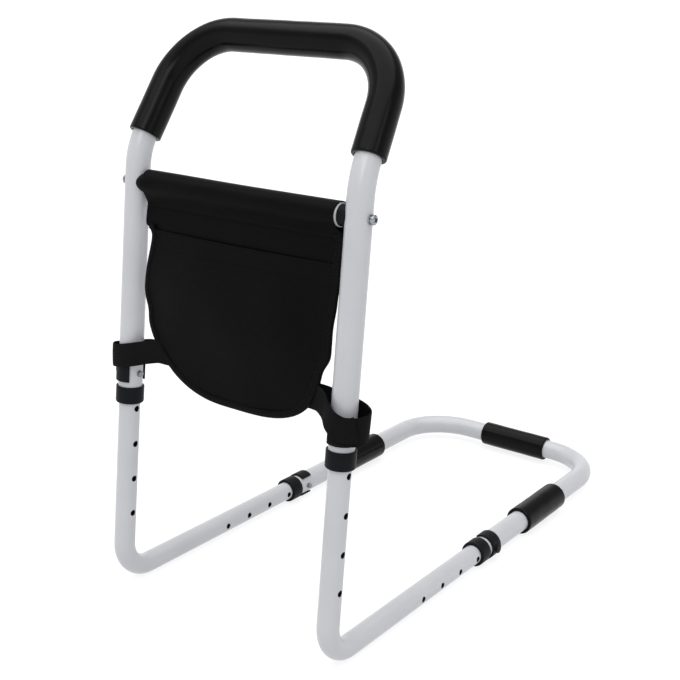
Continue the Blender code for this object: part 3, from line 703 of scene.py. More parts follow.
class BED_BAR_OT_tubes(bpy.types.Operator):
    """Makes the legs with their adjusting holes, the hooped hand bar, the cross bar and the base loop"""

    bl_idname = "bed_bar.tubes"
    bl_label = "Painted tubes"

    def execute(self, context):
        for side, way in (("left", -1), ("right", 1)):
            corners = [on_arm(way, LEG_REACH), mirrored(way, CORNER), on_upright(way, LEG_TOP)]
            path = rounded_path(corners, [LEG_BEND_RADIUS])
            holes = [on_upright(way, UPRIGHT_PIN - HOLE_PITCH * k) for k in range(UPRIGHT_HOLES)]
            holes += [on_arm(way, ARM_PIN + HOLE_PITCH * (1 - k)) for k in range(ARM_HOLES)]
            cutters = [cross_hole(place, PIN_HOLE_R) for place in holes]
            tube(f"leg_tube_{side}", path, INNER_R, "legs", f"leg_{side}", cutters)
        foot = UPRIGHT_COLLAR + COLLAR_LIP + GAP
        left, right = on_upright(-1, BAR_KINK), on_upright(1, BAR_KINK)
        corners = [on_upright(-1, foot), left, mirrored(-1, BAR_TOP), BAR_TOP, right, on_upright(1, foot)]
        radii = [BAR_KINK_RADIUS, BAR_TOP_RADIUS, BAR_TOP_RADIUS, BAR_KINK_RADIUS]
        cutters = [cross_hole(on_upright(way, UPRIGHT_PIN), PIN_HOLE_R) for way in (-1, 1)]
        cutters += [cross_hole(on_upright(way, CROSS_HEIGHT), SCREW_HOLE_R) for way in (-1, 1)]
        tube("hand_bar_tube", rounded_path(corners, radii), OUTER_R, "hand_part", "hand_bar", cutters)
        ends = np.array([CROSS_MIDDLE - ACROSS * CROSS_HALF, CROSS_MIDDLE + ACROSS * CROSS_HALF])
        tube("cross_bar_tube", rounded_path(ends, [], 0.01), CROSS_R, "hand_part", "cross_bar")
        start = ARM_COLLAR + COLLAR_LIP + GAP
        corners = [on_arm(-1, start), on_arm(-1, BASE_BACK), on_arm(1, BASE_BACK), on_arm(1, start)]
        cutters = [cross_hole(on_arm(way, ARM_PIN), PIN_HOLE_R) for way in (-1, 1)]
        path = rounded_path(corners, [BASE_RADIUS, BASE_RADIUS])
        tube("base_loop_tube", path, OUTER_R, "base_part", "base_loop", cutters)
        return {"FINISHED"}


# Fittings


def turned(start, direction, s, r, sides, closed=True):
    """A half section turned round a straight axis; s may be less than 0."""
    s = np.asarray(s, float)
    low = s.min()
    axis = TURN @ np.asarray(direction, float)
    path = placed(start) + axis * np.array([[low], [(low + s.max()) / 2], [s.max()]])
    reference = np.array([0.0, 0.3, 1.0]) if abs(axis[0]) > 0.5 else ACROSS
    return grid_mesh("turned", ring_form(path, reference, s - low, r, sides), closed, True)


def rounded_step(centre_s, centre_r, radius, start, end, count=5):
    """Section points on a quarter round: centre plus radius times (sin, cos) of the angle."""
    angle = np.radians(np.linspace(start, end, count))
    return centre_s + radius * np.sin(angle), centre_r + radius * np.cos(angle)


def collar(name, place, direction, body, node_name):
    """An end collar: a moulded sleeve with a rounded foot, an eased top rim and an inner lip."""
    top_s, top_r = rounded_step(COLLAR_LENGTH - COLLAR_RIM, COLLAR_R - COLLAR_RIM, COLLAR_RIM, 90, 0)
    low_s, low_r = rounded_step(COLLAR_ROUND, COLLAR_R - COLLAR_ROUND, COLLAR_ROUND, 0, -90, 8)
    lip_s = [EDGE_EASE, COLLAR_LIP, COLLAR_LIP]
    lip_r = [INNER_R + GAP, INNER_R + GAP, SLEEVE_R]
    s = np.concatenate([[COLLAR_LENGTH], top_s, [COLLAR_LENGTH * 0.5], low_s, lip_s])
    r = np.concatenate([[SLEEVE_R], top_r, [COLLAR_R], low_r, lip_r])
    mesh = merged(name, [turned(place, direction, s, r, TUBE_SIDES)])
    piece(name, mesh, ["plastic"], body, node_name, 40)


def snap_clip(name, way, place, direction, body, node_name):
    """A spring clip: an arc of wall round the tube, its mouth inwards, with a round boss on its back."""
    middle = SLEEVE_R + CLIP_WALL / 2
    angle = np.linspace(CLIP_OPENING, 2 * pi - CLIP_OPENING, 72)
    axis = TURN @ np.asarray(direction, float)
    inward = np.array([-way, 0.0, 0.0])
    side = np.cross(axis, inward)
    ring = inward * np.cos(angle)[:, None] + side * np.sin(angle)[:, None]
    height = np.linspace(-0.5, 0.5, 5) * CLIP_LENGTH
    places = placed(place) + ring[:, None] * middle + axis * height[None, :, None]
    item = piece(name, merged(name, [grid_mesh(name, places)]), ["plastic"], body, node_name)
    add_wall(item, CLIP_WALL)
    edges = item.modifiers.new("edges", "BEVEL")
    edges.width = CLIP_EASE
    edges.segments = 3
    edges.limit_method = "ANGLE"
    edges.angle_limit = radians(50)
    finished(item)
    outer = SLEEVE_R + CLIP_WALL
    top = outer + CLIP_BOSS_HEIGHT
    rim_s, rim_r = rounded_step(top - CLIP_EASE, CLIP_BOSS_R - CLIP_EASE, CLIP_EASE, 0, 90)
    s = np.concatenate([[outer - CLIP_WALL / 2] * 2, rim_s, [top]])
    r = np.concatenate([[0, CLIP_BOSS_R], rim_r, [0]])
    cut(item, [turned(place, mirrored(way, ACROSS), s, r, 40, False)], "UNION")
    depth = CLIP_WALL + CLIP_BOSS_HEIGHT / 2
    floor = outer + CLIP_BOSS_HEIGHT / 2 - depth * 2
    s = [floor, floor, floor + depth * 2, floor + depth * 2]
    cut(item, [turned(place, mirrored(way, ACROSS), s, [0, PIN_HOLE_R, PIN_HOLE_R, 0], 32, False)])
    item.data.set_sharp_from_angle(angle=radians(40))


def snap_pin(name, way, place, body, node_name):
    """A snap pin: a domed tip, turned grooves behind it, and a plain shank that ends in the clip's boss.
    Along the grooves the radius is PIN_R less their depth times (1 - cos) / 2."""
    tip = OUTER_R + PIN_PAST_TUBE
    foot = -(SLEEVE_R + CLIP_WALL + CLIP_BOSS_HEIGHT / 2 - GAP)
    dome_s, dome_r = rounded_step(tip - PIN_DOME, PIN_R - PIN_DOME, PIN_DOME, 90, 0, 6)
    groove = np.linspace(0, PIN_GROOVES, 25)
    groove_s = tip - GROOVES_START - groove * GROOVE_PITCH
    groove_r = PIN_R - GROOVE_DEPTH * (0.5 - 0.5 * np.cos(2 * pi * groove))
    s = np.concatenate([[tip], dome_s, groove_s, [foot + EDGE_EASE, foot, foot]])
    r = np.concatenate([[0], dome_r, groove_r, [PIN_R, PIN_R - EDGE_EASE, 0]])
    mesh = merged(name, [turned(place, mirrored(-way, ACROSS), s, r, 40, False)])
    piece(name, mesh, ["steel"], body, node_name, 40)


def cross_screw(side, way):
    """A pan head screw with a cross recess. Its head is a low dome on a short side, and its thread is shown
    as rings: the radius is SCREW_R less the thread's depth times (1 - cos) / 2."""
    place = on_upright(way, CROSS_HEIGHT)
    out = mirrored(way, ACROSS)
    head_in = OUTER_R + GAP + WASHER_HEIGHT + GAP
    head_out = head_in + HEAD_HEIGHT
    reach = -(TRACK / 2 - CROSS_HALF + SCREW_DEPTH)
    angle = np.radians(np.linspace(0, 90, 14))
    s = np.concatenate([[head_out], head_in + HEAD_HEIGHT * (0.45 + 0.55 * np.cos(angle) ** 0.8)[1:]])
    r = np.concatenate([[0], HEAD_R * np.sin(angle[1:]) ** 0.75])
    thread = np.linspace(0, 1, 60)
    shank_s = head_in + (reach - head_in) * thread
    shank_r = SCREW_R - THREAD_DEPTH * (0.5 - 0.5 * np.cos(2 * pi * THREADS * thread))
    s = np.concatenate([s, [head_in + EDGE_EASE, head_in], shank_s, [reach]])
    r = np.concatenate([r, [HEAD_R, HEAD_R - EDGE_EASE], shank_r, [0]])
    mesh = merged("screw", [turned(place, out, s, r, 48, False)])
    head = piece(f"pan_head_screw_{side}", mesh, ["zinc"], "hand_part", f"cross_screw_{side}")
    corner = np.array([(a, b) for a in (-1, 1) for b in (-1, 1)])
    faces = [(0, 1, 3, 2), (4, 5, 7, 6), (0, 1, 5, 4), (2, 3, 7, 6), (0, 2, 6, 4), (1, 3, 7, 5)]
    for turn in RECESS_TURNS:
        heading = UPWARD * cos(turn) + np.cross(ACROSS, UPWARD) * sin(turn)
        across = np.cross(out, heading)
        rims = []
        for past, half_long, half_wide in RECESS:
            rim = placed(place) + out * (head_out + past) + heading * corner[:, :1] * half_long
            rims.append(rim + across * corner[:, 1:] * half_wide)
        slot = bpy.data.meshes.new("slot")
        slot.from_pydata(np.vstack(rims), [], faces)
        cut(head, [slot])


def spring_washer(side, way):
    """A split spring washer: a square section turned once round the screw, less a gap, so that its two
    ends stand apart."""
    place = on_upright(way, CROSS_HEIGHT)
    out = mirrored(way, ACROSS)
    wall_out = OUTER_R + GAP
    turn = np.linspace(WASHER_HALF_GAP, 2 * pi - WASHER_HALF_GAP, 60)
    core = (WASHER_R + SCREW_HOLE_R) / 2
    half_wide = (WASHER_R - SCREW_HOLE_R) / 2
    half_high = WASHER_HEIGHT / 2 * WASHER_FILL
    section = np.array([(1, 1), (-1, 1), (-1, -1), (1, -1)])
    spoke = UPWARD * np.cos(turn)[:, None] + np.cross(ACROSS, UPWARD) * np.sin(turn)[:, None]
    rise = wall_out + WASHER_HEIGHT / 2 + (turn / pi - 1) * WASHER_HEIGHT * WASHER_RISE
    places = placed(place) + spoke[:, None] * (core + section[None, :, :1] * half_wide)
    places = places + out * (rise[:, None, None] + section[None, :, 1:] * half_high)
    mesh = ends_filled(merged("washer", [grid_mesh("washer", places, False, True)]), 4)
    piece(f"spring_washer_{side}", mesh, ["zinc"], "hand_part", f"cross_washer_{side}", 40)


def cross_plug(side, way):
    """A moulded end plug of the cross bar, its neck a little thinner than the bar and hollowed to sit on
    the upright."""
    place = on_upright(way, CROSS_HEIGHT)
    neck = CROSS_R - PLUG_NECK_STEP
    stem = CROSS_R - TUBE_WALL - GAP
    shoulder = TRACK / 2 - CROSS_HALF - GAP
    foot = shoulder + GAP + PLUG_STEM
    low_s, low_r = rounded_step(-shoulder + PLUG_EASE, neck - PLUG_EASE, PLUG_EASE, 0, -90)
    s = np.concatenate([[0, 0], low_s, [-shoulder, -foot + PLUG_CHAMFER, -foot, -foot]])
    r = np.concatenate([[SCREW_HOLE_R, neck], low_r, [stem, stem, stem - PLUG_CHAMFER, SCREW_HOLE_R]])
    mesh = merged("plug", [turned(place, mirrored(way, ACROSS), s, r, TUBE_SIDES)])
    plug = piece(f"saddle_plug_{side}", mesh, ["plastic"], "hand_part", f"cross_plug_{side}")
    cut(plug, [rod(placed(place), UPWARD, SLEEVE_R, HOLE_CUT, 96)])


class BED_BAR_OT_fittings(bpy.types.Operator):
    """Makes the collars, the spring clips and their pins, and the cross bar's plugs, screws and washers"""

    bl_idname = "bed_bar.fittings"
    bl_label = "Moulded fittings and hardware"

    def execute(self, context):
        for side, way in (("left", -1), ("right", 1)):
            collars = (
                ("upright", on_upright(way, UPRIGHT_COLLAR), UP, "hand_part"),
                ("base", on_arm(way, ARM_COLLAR), ALONG, "base_part"),
            )
            for run, place, heading, body in collars:
                collar(f"{run}_end_collar_{side}", place, heading, body, f"{run}_collar_{side}")
            locks = (("upright", on_upright(way, UPRIGHT_PIN), UP), ("base", on_arm(way, ARM_PIN), ALONG))
            for run, place, heading in locks:
                body = f"{run}_lock_{side}"
                snap_clip(f"{run}_spring_clip_{side}", way, place, heading, body, f"{run}_clip_{side}")
                snap_pin(f"{run}_snap_pin_{side}", way, place, body, f"{run}_pin_{side}")
            cross_plug(side, way)
            cross_screw(side, way)
            spring_washer(side, way)
        return {"FINISHED"}


# Foam


def foam_sleeve(name, path, radius, bore, shoulder, ripple):
    """A foam tube with rounded shoulders. Its skin swells and dips by the ripple, as pushed-on foam does:
    waves of about 66 and 30 mm (2 pi over 95 and 213) fade out towards its ends, and one of 157 mm (2 pi
    over 40) winds round its whole length."""
    total = lengths_along(path)[-1]
    count = ceil((total - 2 * shoulder) / FOAM_PACE)
    skin = np.linspace(shoulder, total - shoulder, count)
    quarter = np.radians(np.linspace(0, 90, 8))
    head_s = shoulder * (1 - np.sin(quarter))
    head_r = radius - shoulder * (1 - np.cos(quarter))
    eased = [bore + FOAM_END_EASE]
    s = np.concatenate([head_s[::-1], skin[1:-1], total - head_s, [total], skin[::-1], [0]])
    outer_r = np.concatenate([head_r[::-1], np.full(count - 2, radius), head_r])
    r = np.concatenate([outer_r, eased, np.full(count, bore), eased])
    outside = np.concatenate([np.ones(len(outer_r)), np.zeros(count + 2)])[:, None]

    def swell(run, around):
        edge = smoothstep(run, 0, 0.02) * smoothstep(total - run, 0, 0.02)
        wave = np.sin(run * 95 + 1.7 * np.cos(around)) + 0.6 * np.sin(run * 213 + 2 * around + 1.0)
        return outside * ripple * (wave * 0.5 * edge + 0.5 * np.sin(3 * around + run * 40))

    places = ring_form(path, ASKEW, s, r, FOAM_SIDES, swell)
    return merged(name, [grid_mesh(name, places, True, True)])


def rest_on_floor(mesh):
    """Flattens what would reach below the floor plane."""
    places = np.empty(len(mesh.vertices) * 3)
    mesh.vertices.foreach_get("co", places)
    places[2::3] = np.maximum(places[2::3], FLOOR_CLEARANCE)
    mesh.vertices.foreach_set("co", places)


class BED_BAR_OT_foam(bpy.types.Operator):
    """Makes the foam hand grip over the top of the bar, and the three foam sleeves of the base"""

    bl_idname = "bed_bar.foam"
    bl_label = "Foam grip and sleeves"

    def execute(self, context):
        sizes = context.scene.bed_bar
        bore = OUTER_R + GAP / 2
        left_top = mirrored(-1, BAR_TOP)
        side = on_upright(-1, BAR_KINK) - left_top
        side /= np.linalg.norm(side)
        # the grip was pushed on a little further down the left side
        left_end = left_top + side * (GRIP_DROP + GRIP_SHIFT)
        right_end = BAR_TOP + mirrored(-1, side) * (GRIP_DROP - GRIP_SHIFT)
        path = placed(rounded_path([left_end, left_top, BAR_TOP, right_end], [BAR_TOP_RADIUS] * 2))
        mesh = foam_sleeve("grip", path, sizes.grip_radius, bore, GRIP_SHOULDER, GRIP_RIPPLE)
        grip = piece("foam_hand_grip", mesh, ["foam"], "hand_part", "hand_grip", 60)
        left = [on_arm(-1, LEFT_FOAM), on_arm(-1, LEFT_FOAM + FOAM_LENGTH)]
        right = [on_arm(1, RIGHT_FOAM), on_arm(1, RIGHT_FOAM + FOAM_LENGTH)]
        centre = np.array([FAR_FOAM_CENTRE, BASE_BACK, INNER_R])
        back = [centre - ACROSS * FOAM_LENGTH / 2, centre + ACROSS * FOAM_LENGTH / 2]
        sleeves = [
            ("foam_arm_sleeve_left", left, "base_foam_left", 0),
            ("foam_arm_sleeve_right", right, "base_foam_right", 0),
            ("foam_back_sleeve", back, "base_foam_back", FAR_FOAM_THINNER),
        ]
        for name, ends, node_name, thinner in sleeves:
            path = placed(rounded_path(ends, [], 0.004))
            radius = sizes.sleeve_radius - thinner
            mesh = foam_sleeve("sleeve", path, radius, bore, SLEEVE_SHOULDER, SLEEVE_RIPPLE)
            rest_on_floor(mesh)
            sleeve = piece(name, mesh, ["foam"], "base_part", node_name, 60)
        return {"FINISHED"}


# Pouch


HANG = placed(CROSS_MIDDLE)


def hung(x, back, depth):
    """A pouch place from its sideways, backward and downward distances. Below the bar the cloth leans
    forward into the plane of the uprights, to which its straps pull it."""
    lean = 0.0030 * smoothstep(depth, LEAN_FROM, 0.045) + 0.045 * np.maximum(depth - LEAN_FROM, 0)
    return np.stack([x, back - lean, -depth], -1) + HANG


def half_width(way, depth):
    """How far the pouch reaches to a side at a depth. The left edge steps in at the pocket's corner and a
    little where its strap pulls. The right edge fills the gap to the upright, then steps in above its
    strap."""
    if way < 0:
        step = np.exp(-(((depth - 0.0465) / np.where(depth < 0.0465, 0.003, 0.029)) ** 2))
        pull = np.exp(-(((depth - 0.126) / 0.009) ** 2))
        taper = np.clip((depth - 0.105) / 0.093, 0, 2) ** 1.1
        spread_top = 0.0015 * (1 - smoothstep(depth, 0.035, 0.050))
        draw = 0.0009 * smoothstep(depth, 0.044, 0.050) * (1 - smoothstep(depth, 0.108, 0.130))
        return POUCH_LEFT + spread_top - draw - 0.0085 * step - 0.0030 * pull - 0.0187 * taper
    width = POUCH_RIGHT + 0.0063 * smoothstep(depth, 0.012, 0.022)
    width = width - 0.0024 * smoothstep(depth, 0.060, 0.078) - 0.0030 * smoothstep(depth, 0.078, 0.106)
    return width - 0.0073 * smoothstep(depth, 0.130, 0.148)


def reach_at(x, depth):
    """How far the pouch reaches at a depth, to the side that x is on."""
    return np.where(x < 0, half_width(-1, depth), half_width(1, depth))


def outline(turn, inset=0.0):
    """The side share (-1 to 1) and the depth of the pouch's edge at an angle: a superellipse, squarer on
    the right, below straight sides."""
    power = np.where(turn < pi / 2, LEFT_POWER, RIGHT_POWER)
    share = -np.sign(np.cos(turn)) * np.abs(np.cos(turn)) ** (2 / power)
    depth = POUCH_SIDE + (POUCH_DEPTH - POUCH_SIDE) * np.abs(np.sin(turn)) ** (2 / power) - inset
    return share, depth


def across_at(share, depth, inset=0.0):
    """The sideways place of a side share at a depth."""
    return share * (reach_at(share, depth) - inset)


def edge_distance(x, depth):
    """About how far a place on the pouch is from its bound edge: the smooth least of the distances to the
    side and to the foot, (a^-3 + b^-3)^(-1/3)."""
    reach = reach_at(x, depth)
    share = np.clip(np.abs(x) / reach, 0, 1)
    power = np.where(x < 0, LEFT_POWER, RIGHT_POWER)
    foot = POUCH_SIDE + (POUCH_DEPTH - POUCH_SIDE) * (1 - share**power) ** (1 / power) - depth
    side, foot = np.maximum(reach - np.abs(x), 1e-4), np.maximum(foot * 0.8, 1e-4)
    return (side**-3 + foot**-3) ** (-1 / 3)


def folds(x, depth):
    """Soft folds of a hanging cloth: three long waves that cross at slants, deeper towards the foot."""
    wave = np.sin(x * 48 + depth * 16 + 0.6) + 0.7 * np.sin(x * 83 - depth * 38 + 2.0)
    wave += 0.6 * np.sin(depth * 120 + x * 21 + 1.1)
    return wave * 0.00035 * smoothstep(depth, 0.02, 0.09)


def pouch_piece(name, node_name, kind, x, back, depth, thickness, weave=None):
    """A cloth piece of the pouch from its sideways, backward and downward distances. Without a weave map of
    its own it takes the sideways and downward distances."""
    if weave is None:
        weave = np.stack([x, depth], -1)
    mesh = grid_mesh(name, hung(x, back, depth), False, False, weave)
    item = piece(name, mesh, [kind], "hand_part", node_name, 60)
    add_wall(item, thickness)
    return finished(item)


def back_and_sleeve(sizes):
    """The back panel and the sleeve as one cloth. Each column rises from the foot, runs off the panel to
    touch the sleeve's round, goes over the bar, and comes down behind to the seam. The left mouth spreads
    over the front of the upright."""
    turn = np.linspace(0, pi, PANEL_COLUMNS)
    share, foot = outline(turn, FOOT_INSET)
    touch = np.arccos(SLEEVE_CLOTH_R / np.hypot(SEAM_DEPTH, PANEL_FRONT))
    around = np.linspace(touch, 2 * pi - touch, 56)
    round_back = -SLEEVE_CLOTH_R * np.sin(around)
    round_depth = SLEEVE_CLOTH_R * np.cos(around)
    fall = np.linspace(0, 1, 9)[1:-1]
    front_back = -PANEL_FRONT + (round_back[0] + PANEL_FRONT) * fall
    front_depth = SEAM_DEPTH + (round_depth[0] - SEAM_DEPTH) * fall
    tail = np.linspace(0, 1, 6)[1:]
    # the sleeve's section: up from the panel's front, over the bar, and down behind to a turned-in tail
    section_back = [[-PANEL_FRONT], front_back, round_back, -front_back[::-1], [0.0007], np.full(5, 0.0011)]
    section_back = np.concatenate(section_back)
    section_depth = [[SEAM_DEPTH], front_depth, round_depth, front_depth[::-1], [SEAM_DEPTH]]
    section_depth = np.concatenate([*section_depth, SEAM_DEPTH + 0.006 * tail])
    soft = np.array([0.25, 0.5, 0.25])
    for _ in range(3):
        section_back[1:-1] = np.convolve(section_back, soft, "valid")
        section_depth[1:-1] = np.convolve(section_depth, soft, "valid")
    drop = np.linspace(1, 0, 60)[:-1, None]
    panel_depth = SEAM_DEPTH + (foot[None] - SEAM_DEPTH) * drop
    panel_x = across_at(share[None], panel_depth, 0.002 * smoothstep(panel_depth, 0.040, 0.046))
    panel_back = 0.0004 - 0.0010 * smoothstep(SEAM_DEPTH + 0.03 - panel_depth, 0, 0.03)
    panel_back = panel_back + folds(panel_x, panel_depth) * PANEL_FOLDS
    sleeve_depth = np.repeat(section_depth[:, None], PANEL_COLUMNS, 1)
    sleeve_back = np.repeat(section_back[:, None], PANEL_COLUMNS, 1)
    left_end = POUCH_LEFT + 0.0015 * smoothstep(sleeve_depth, 0.008, SEAM_DEPTH)
    left_end = left_end + 0.0011 * smoothstep(-sleeve_depth, 0.004, 0.012)
    right_end = SLEEVE_RIGHT + 0.0052 * smoothstep(sleeve_depth, 0.010, SEAM_DEPTH)
    sleeve_x = share * np.where(share < 0, left_end, right_end)
    # the mouth on the left: furthest out at the front of the bar, and clear of the upright's face
    front = smoothstep(-sleeve_back, 0.0098, 0.0126)
    mouth = smoothstep(-sleeve_x, 0.100, POUCH_LEFT) * front
    sleeve_x = sleeve_x - 0.0020 * mouth
    sleeve_back = sleeve_back - 0.0016 * mouth
    # the bar's end lifts the cloth above it towards the left mouth
    lift = 1 + 0.10 * smoothstep(-sleeve_x, -0.02, 0.118)
    sleeve_depth = sleeve_depth * np.where(sleeve_depth < 0, lift, 1)
    # shallow pulls in the cloth along the bar
    pulls = 0.0003 * (1 + np.sin(sleeve_x * 70 + sleeve_depth * 160))
    sleeve_back = sleeve_back - pulls * smoothstep(-sleeve_back, 0.002, 0.010)
    x = np.vstack([panel_x, sleeve_x])
    back = np.vstack([panel_back, sleeve_back])
    depth = np.vstack([panel_depth, sleeve_depth])
    section_run = lengths_along(np.stack([section_back, section_depth], -1))
    run = np.concatenate([panel_depth[:, PANEL_COLUMNS // 2], SEAM_DEPTH - section_run])
    weave = np.stack([x, np.repeat(run[:, None], PANEL_COLUMNS, 1)], -1)
    name = "pouch_back_and_sleeve"
    item = pouch_piece(name, "pouch_panel", "oxford", x, back, depth, sizes.cloth_thickness, weave)


def pocket_back(x, depth, share):
    """How far forward the pocket's face stands: a mouth held open, a belly below it, and no swell at the
    edge. share runs from 0 at the mouth to 1 at the foot."""
    inner = smoothstep(edge_distance(x, depth), 0.002, 0.070)
    swell = 0.0016 + 0.0060 * np.sin(pi * np.clip(share, 0, 1)) ** 1.2
    hem = 0.0003 * smoothstep(HEM + POCKET_TOP - depth, 0, 0.002)
    return -0.0019 - swell * inner - hem + folds(x + 0.02, depth)


def pocket_front(sizes):
    """The pocket's face: columns from the hemmed mouth down to the bound edge, swelling forward between."""
    share, foot = outline(np.linspace(0, pi, 141), FOOT_INSET)
    mouth = POCKET_TOP + 0.0010 * (1 - share**2)
    drop = np.linspace(0, 1, 90)[:, None]
    depth = mouth[None] + (foot[None] - mouth[None]) * drop
    x = across_at(share[None], depth, POCKET_INSET)
    back = pocket_back(x, depth, drop + 0 * x)
    # the mouth's edge, turned over the top in three rows
    lip = np.array([[0.0010], [0.0016], [0.0010]])
    lip_back = back[:1] + lip * [[0.55], [1.0], [1.4]]
    lip_depth = depth[:1] + np.array([[-0.0007], [0.0001], [0.0014]])
    x = np.vstack([np.repeat(x[:1], 3, 0)[::-1], x])
    back = np.vstack([lip_back[::-1], back])
    depth = np.vstack([lip_depth[::-1], depth])
    name = "pouch_front_pocket"
    item = pouch_piece(name, "pouch_pocket", "oxford", x, back, depth, sizes.cloth_thickness)


def edge_path():
    """The pouch's bound edge as (x, depth), from the pocket's left corner round the foot to the top right,
    in even steps, with the distance along it and the unit direction inward at each step."""
    share, foot = outline(np.linspace(0, pi, 500))
    left = np.linspace(0.0445, POUCH_SIDE, 80)[:-1]
    right = np.linspace(POUCH_SIDE, 0.0145, 110)[1:]
    depth = np.concatenate([left, foot, right])
    x = np.concatenate([-half_width(-1, left), across_at(share, foot), half_width(1, right)])
    path = np.stack([x, depth], -1)
    even = np.linspace(0, lengths_along(path)[-1], 260)
    path = at_length(path, path, even)
    kernel = np.ones(5) / 5
    path[2:-2] = np.stack([np.convolve(path[:, k], kernel, "valid") for k in (0, 1)], -1)
    heading = unit(np.gradient(path, even, axis=0))
    return path, even, np.stack([heading[:, 1], -heading[:, 0]], -1)


def binding(sizes):
    """Tape folded over the edge: an open U section carried round the outline, square to it."""
    path, even, inward = edge_path()
    width = sizes.binding_width
    section = np.array([
        (width, -0.0026), (width * 0.75, -0.0031), (width * 0.45, -0.0030), (width * 0.18, -0.0027),
        (0.0007, -0.0021), (0.0001, -0.0012), (0.0, -0.0005), (0.0001, 0.0002), (0.0007, 0.0010),
        (width * 0.18, 0.0015), (width * 0.45, 0.0016), (width * 0.75, 0.0016), (width, 0.0013),
    ])
    pucker = 1 + 0.06 * np.sin(even * 900)[:, None] * (section[None, :, 0] / width)
    x = path[:, :1] + inward[:, :1] * section[None, :, 0]
    depth = path[:, 1:] + inward[:, 1:] * section[None, :, 0]
    back = section[None, :, 1] * pucker + folds(x, depth) * PANEL_FOLDS
    tape = lengths_along(section)
    weave = pairs(even, tape)
    item = pouch_piece("pouch_edge_binding", "pouch_binding", "tape", x, back, depth, TAPE, weave)


def stitches(name, x, back, depth, facing, pitch):
    """Lockstitches along a line on the pouch, facing forward (-1) or backward (1). Each is a short arch of
    thread that leaves the cloth and goes back in: a stitch's place is its middle plus heading times t, plus
    the normal times a half sine of t, with a round of six."""
    line = hung(x, back, depth)
    run = lengths_along(line)
    middles = np.arange(pitch, run[-1] - pitch, pitch)
    heading = unit(at_length(line, np.gradient(line, run, axis=0), middles))
    normal = np.tile([0.0, facing, 0.0], (len(middles), 1))
    side = np.cross(heading, normal)
    share = np.linspace(0, 1, 5)
    along = (share - 0.5) * STITCH_LENGTH
    rise = np.sin(share * pi) * STITCH_RISE
    thick = THREAD_R * np.array([0.55, 1, 1.08, 1, 0.55])
    angle = np.arange(6) * pi / 3
    centre = at_length(line, line, middles)[:, None] + heading[:, None] * along[None, :, None]
    centre = centre + normal[:, None] * rise[None, :, None]
    ring = normal[:, None] * np.cos(angle)[None, :, None] + side[:, None] * np.sin(angle)[None, :, None]
    verts = centre[:, :, None] + ring[:, None] * thick[None, :, None, None]
    caps = np.array([[0, 1, 2, 3], [0, 3, 4, 5], [27, 26, 25, 24], [29, 28, 27, 24]])
    faces = np.vstack([grid_faces(5, 6, False, True), caps])
    every = (faces[None] + np.arange(len(middles))[:, None, None] * 30).reshape(-1, 4)
    mesh = bpy.data.meshes.new(name)
    mesh.from_pydata(verts.reshape(-1, 3), [], every.tolist())
    piece(name, merged(name, [mesh]), ["thread"], "hand_part", sharp=80)


def pouch_stitches(sizes):
    """The rows of stitching that show: along the binding, the pocket's hem, and the sleeve's seam."""
    path, _, inward = edge_path()
    edge_x, edge_depth = (path + inward * (sizes.binding_width - STITCH_TO_EDGE)).T
    edge_back = -0.0036 + folds(edge_x, edge_depth) * PANEL_FOLDS
    hem_depth = np.full(200, POCKET_TOP + HEM)
    hem_x = across_at(np.linspace(-0.88, 0.88, 200), hem_depth, POCKET_INSET)
    hem_back = pocket_back(hem_x, hem_depth, (hem_depth - POCKET_TOP) / (POUCH_DEPTH - POCKET_TOP))
    hem_back = hem_back - sizes.cloth_thickness / 2 - 0.0001
    seam_x = np.linspace(-0.114, 0.114, 200)
    seam_depth = np.full(200, SEAM_DEPTH + 0.0035)
    rows = [
        ("stitching_binding", edge_x, edge_back, edge_depth, -1),
        ("stitching_hem", hem_x, hem_back, hem_depth, -1),
        ("stitching_sleeve_front", seam_x, -0.0013, seam_depth, -1),
        ("stitching_sleeve_back", seam_x, 0.0018, seam_depth, 1),
    ]
    for row in rows:
        stitches(*row, sizes.stitch_pitch)


class BED_BAR_OT_pouch(bpy.types.Operator):
    """Makes the pouch: its back panel and sleeve, the pocket, the bound edge and the stitching"""

    bl_idname = "bed_bar.pouch"
    bl_label = "Hanging pouch"

    def execute(self, context):
        sizes = context.scene.bed_bar
        back_and_sleeve(sizes)
        pocket_front(sizes)
        binding(sizes)
        pouch_stitches(sizes)
        return {"FINISHED"}


# Straps


def smooth_curve(points, count):
    """A curve through points: between two of them, each place is the cubic that also takes its slopes from
    the points on either side."""
    points = np.asarray(points, float)
    padded_points = np.vstack([2 * points[0] - points[1], points, 2 * points[-1] - points[-2]])
    t = np.linspace(0, len(points) - 1 - 1e-9, count)
    k = t.astype(int)
    u = (t - k)[:, None]
    a, b, c, d = (padded_points[k + j] for j in range(4))
    return 0.5 * (2 * b + (c - a) * u + (2 * a - 5 * b + 4 * c - d) * u**2 + (3 * b - a - 3 * c + d) * u**3)


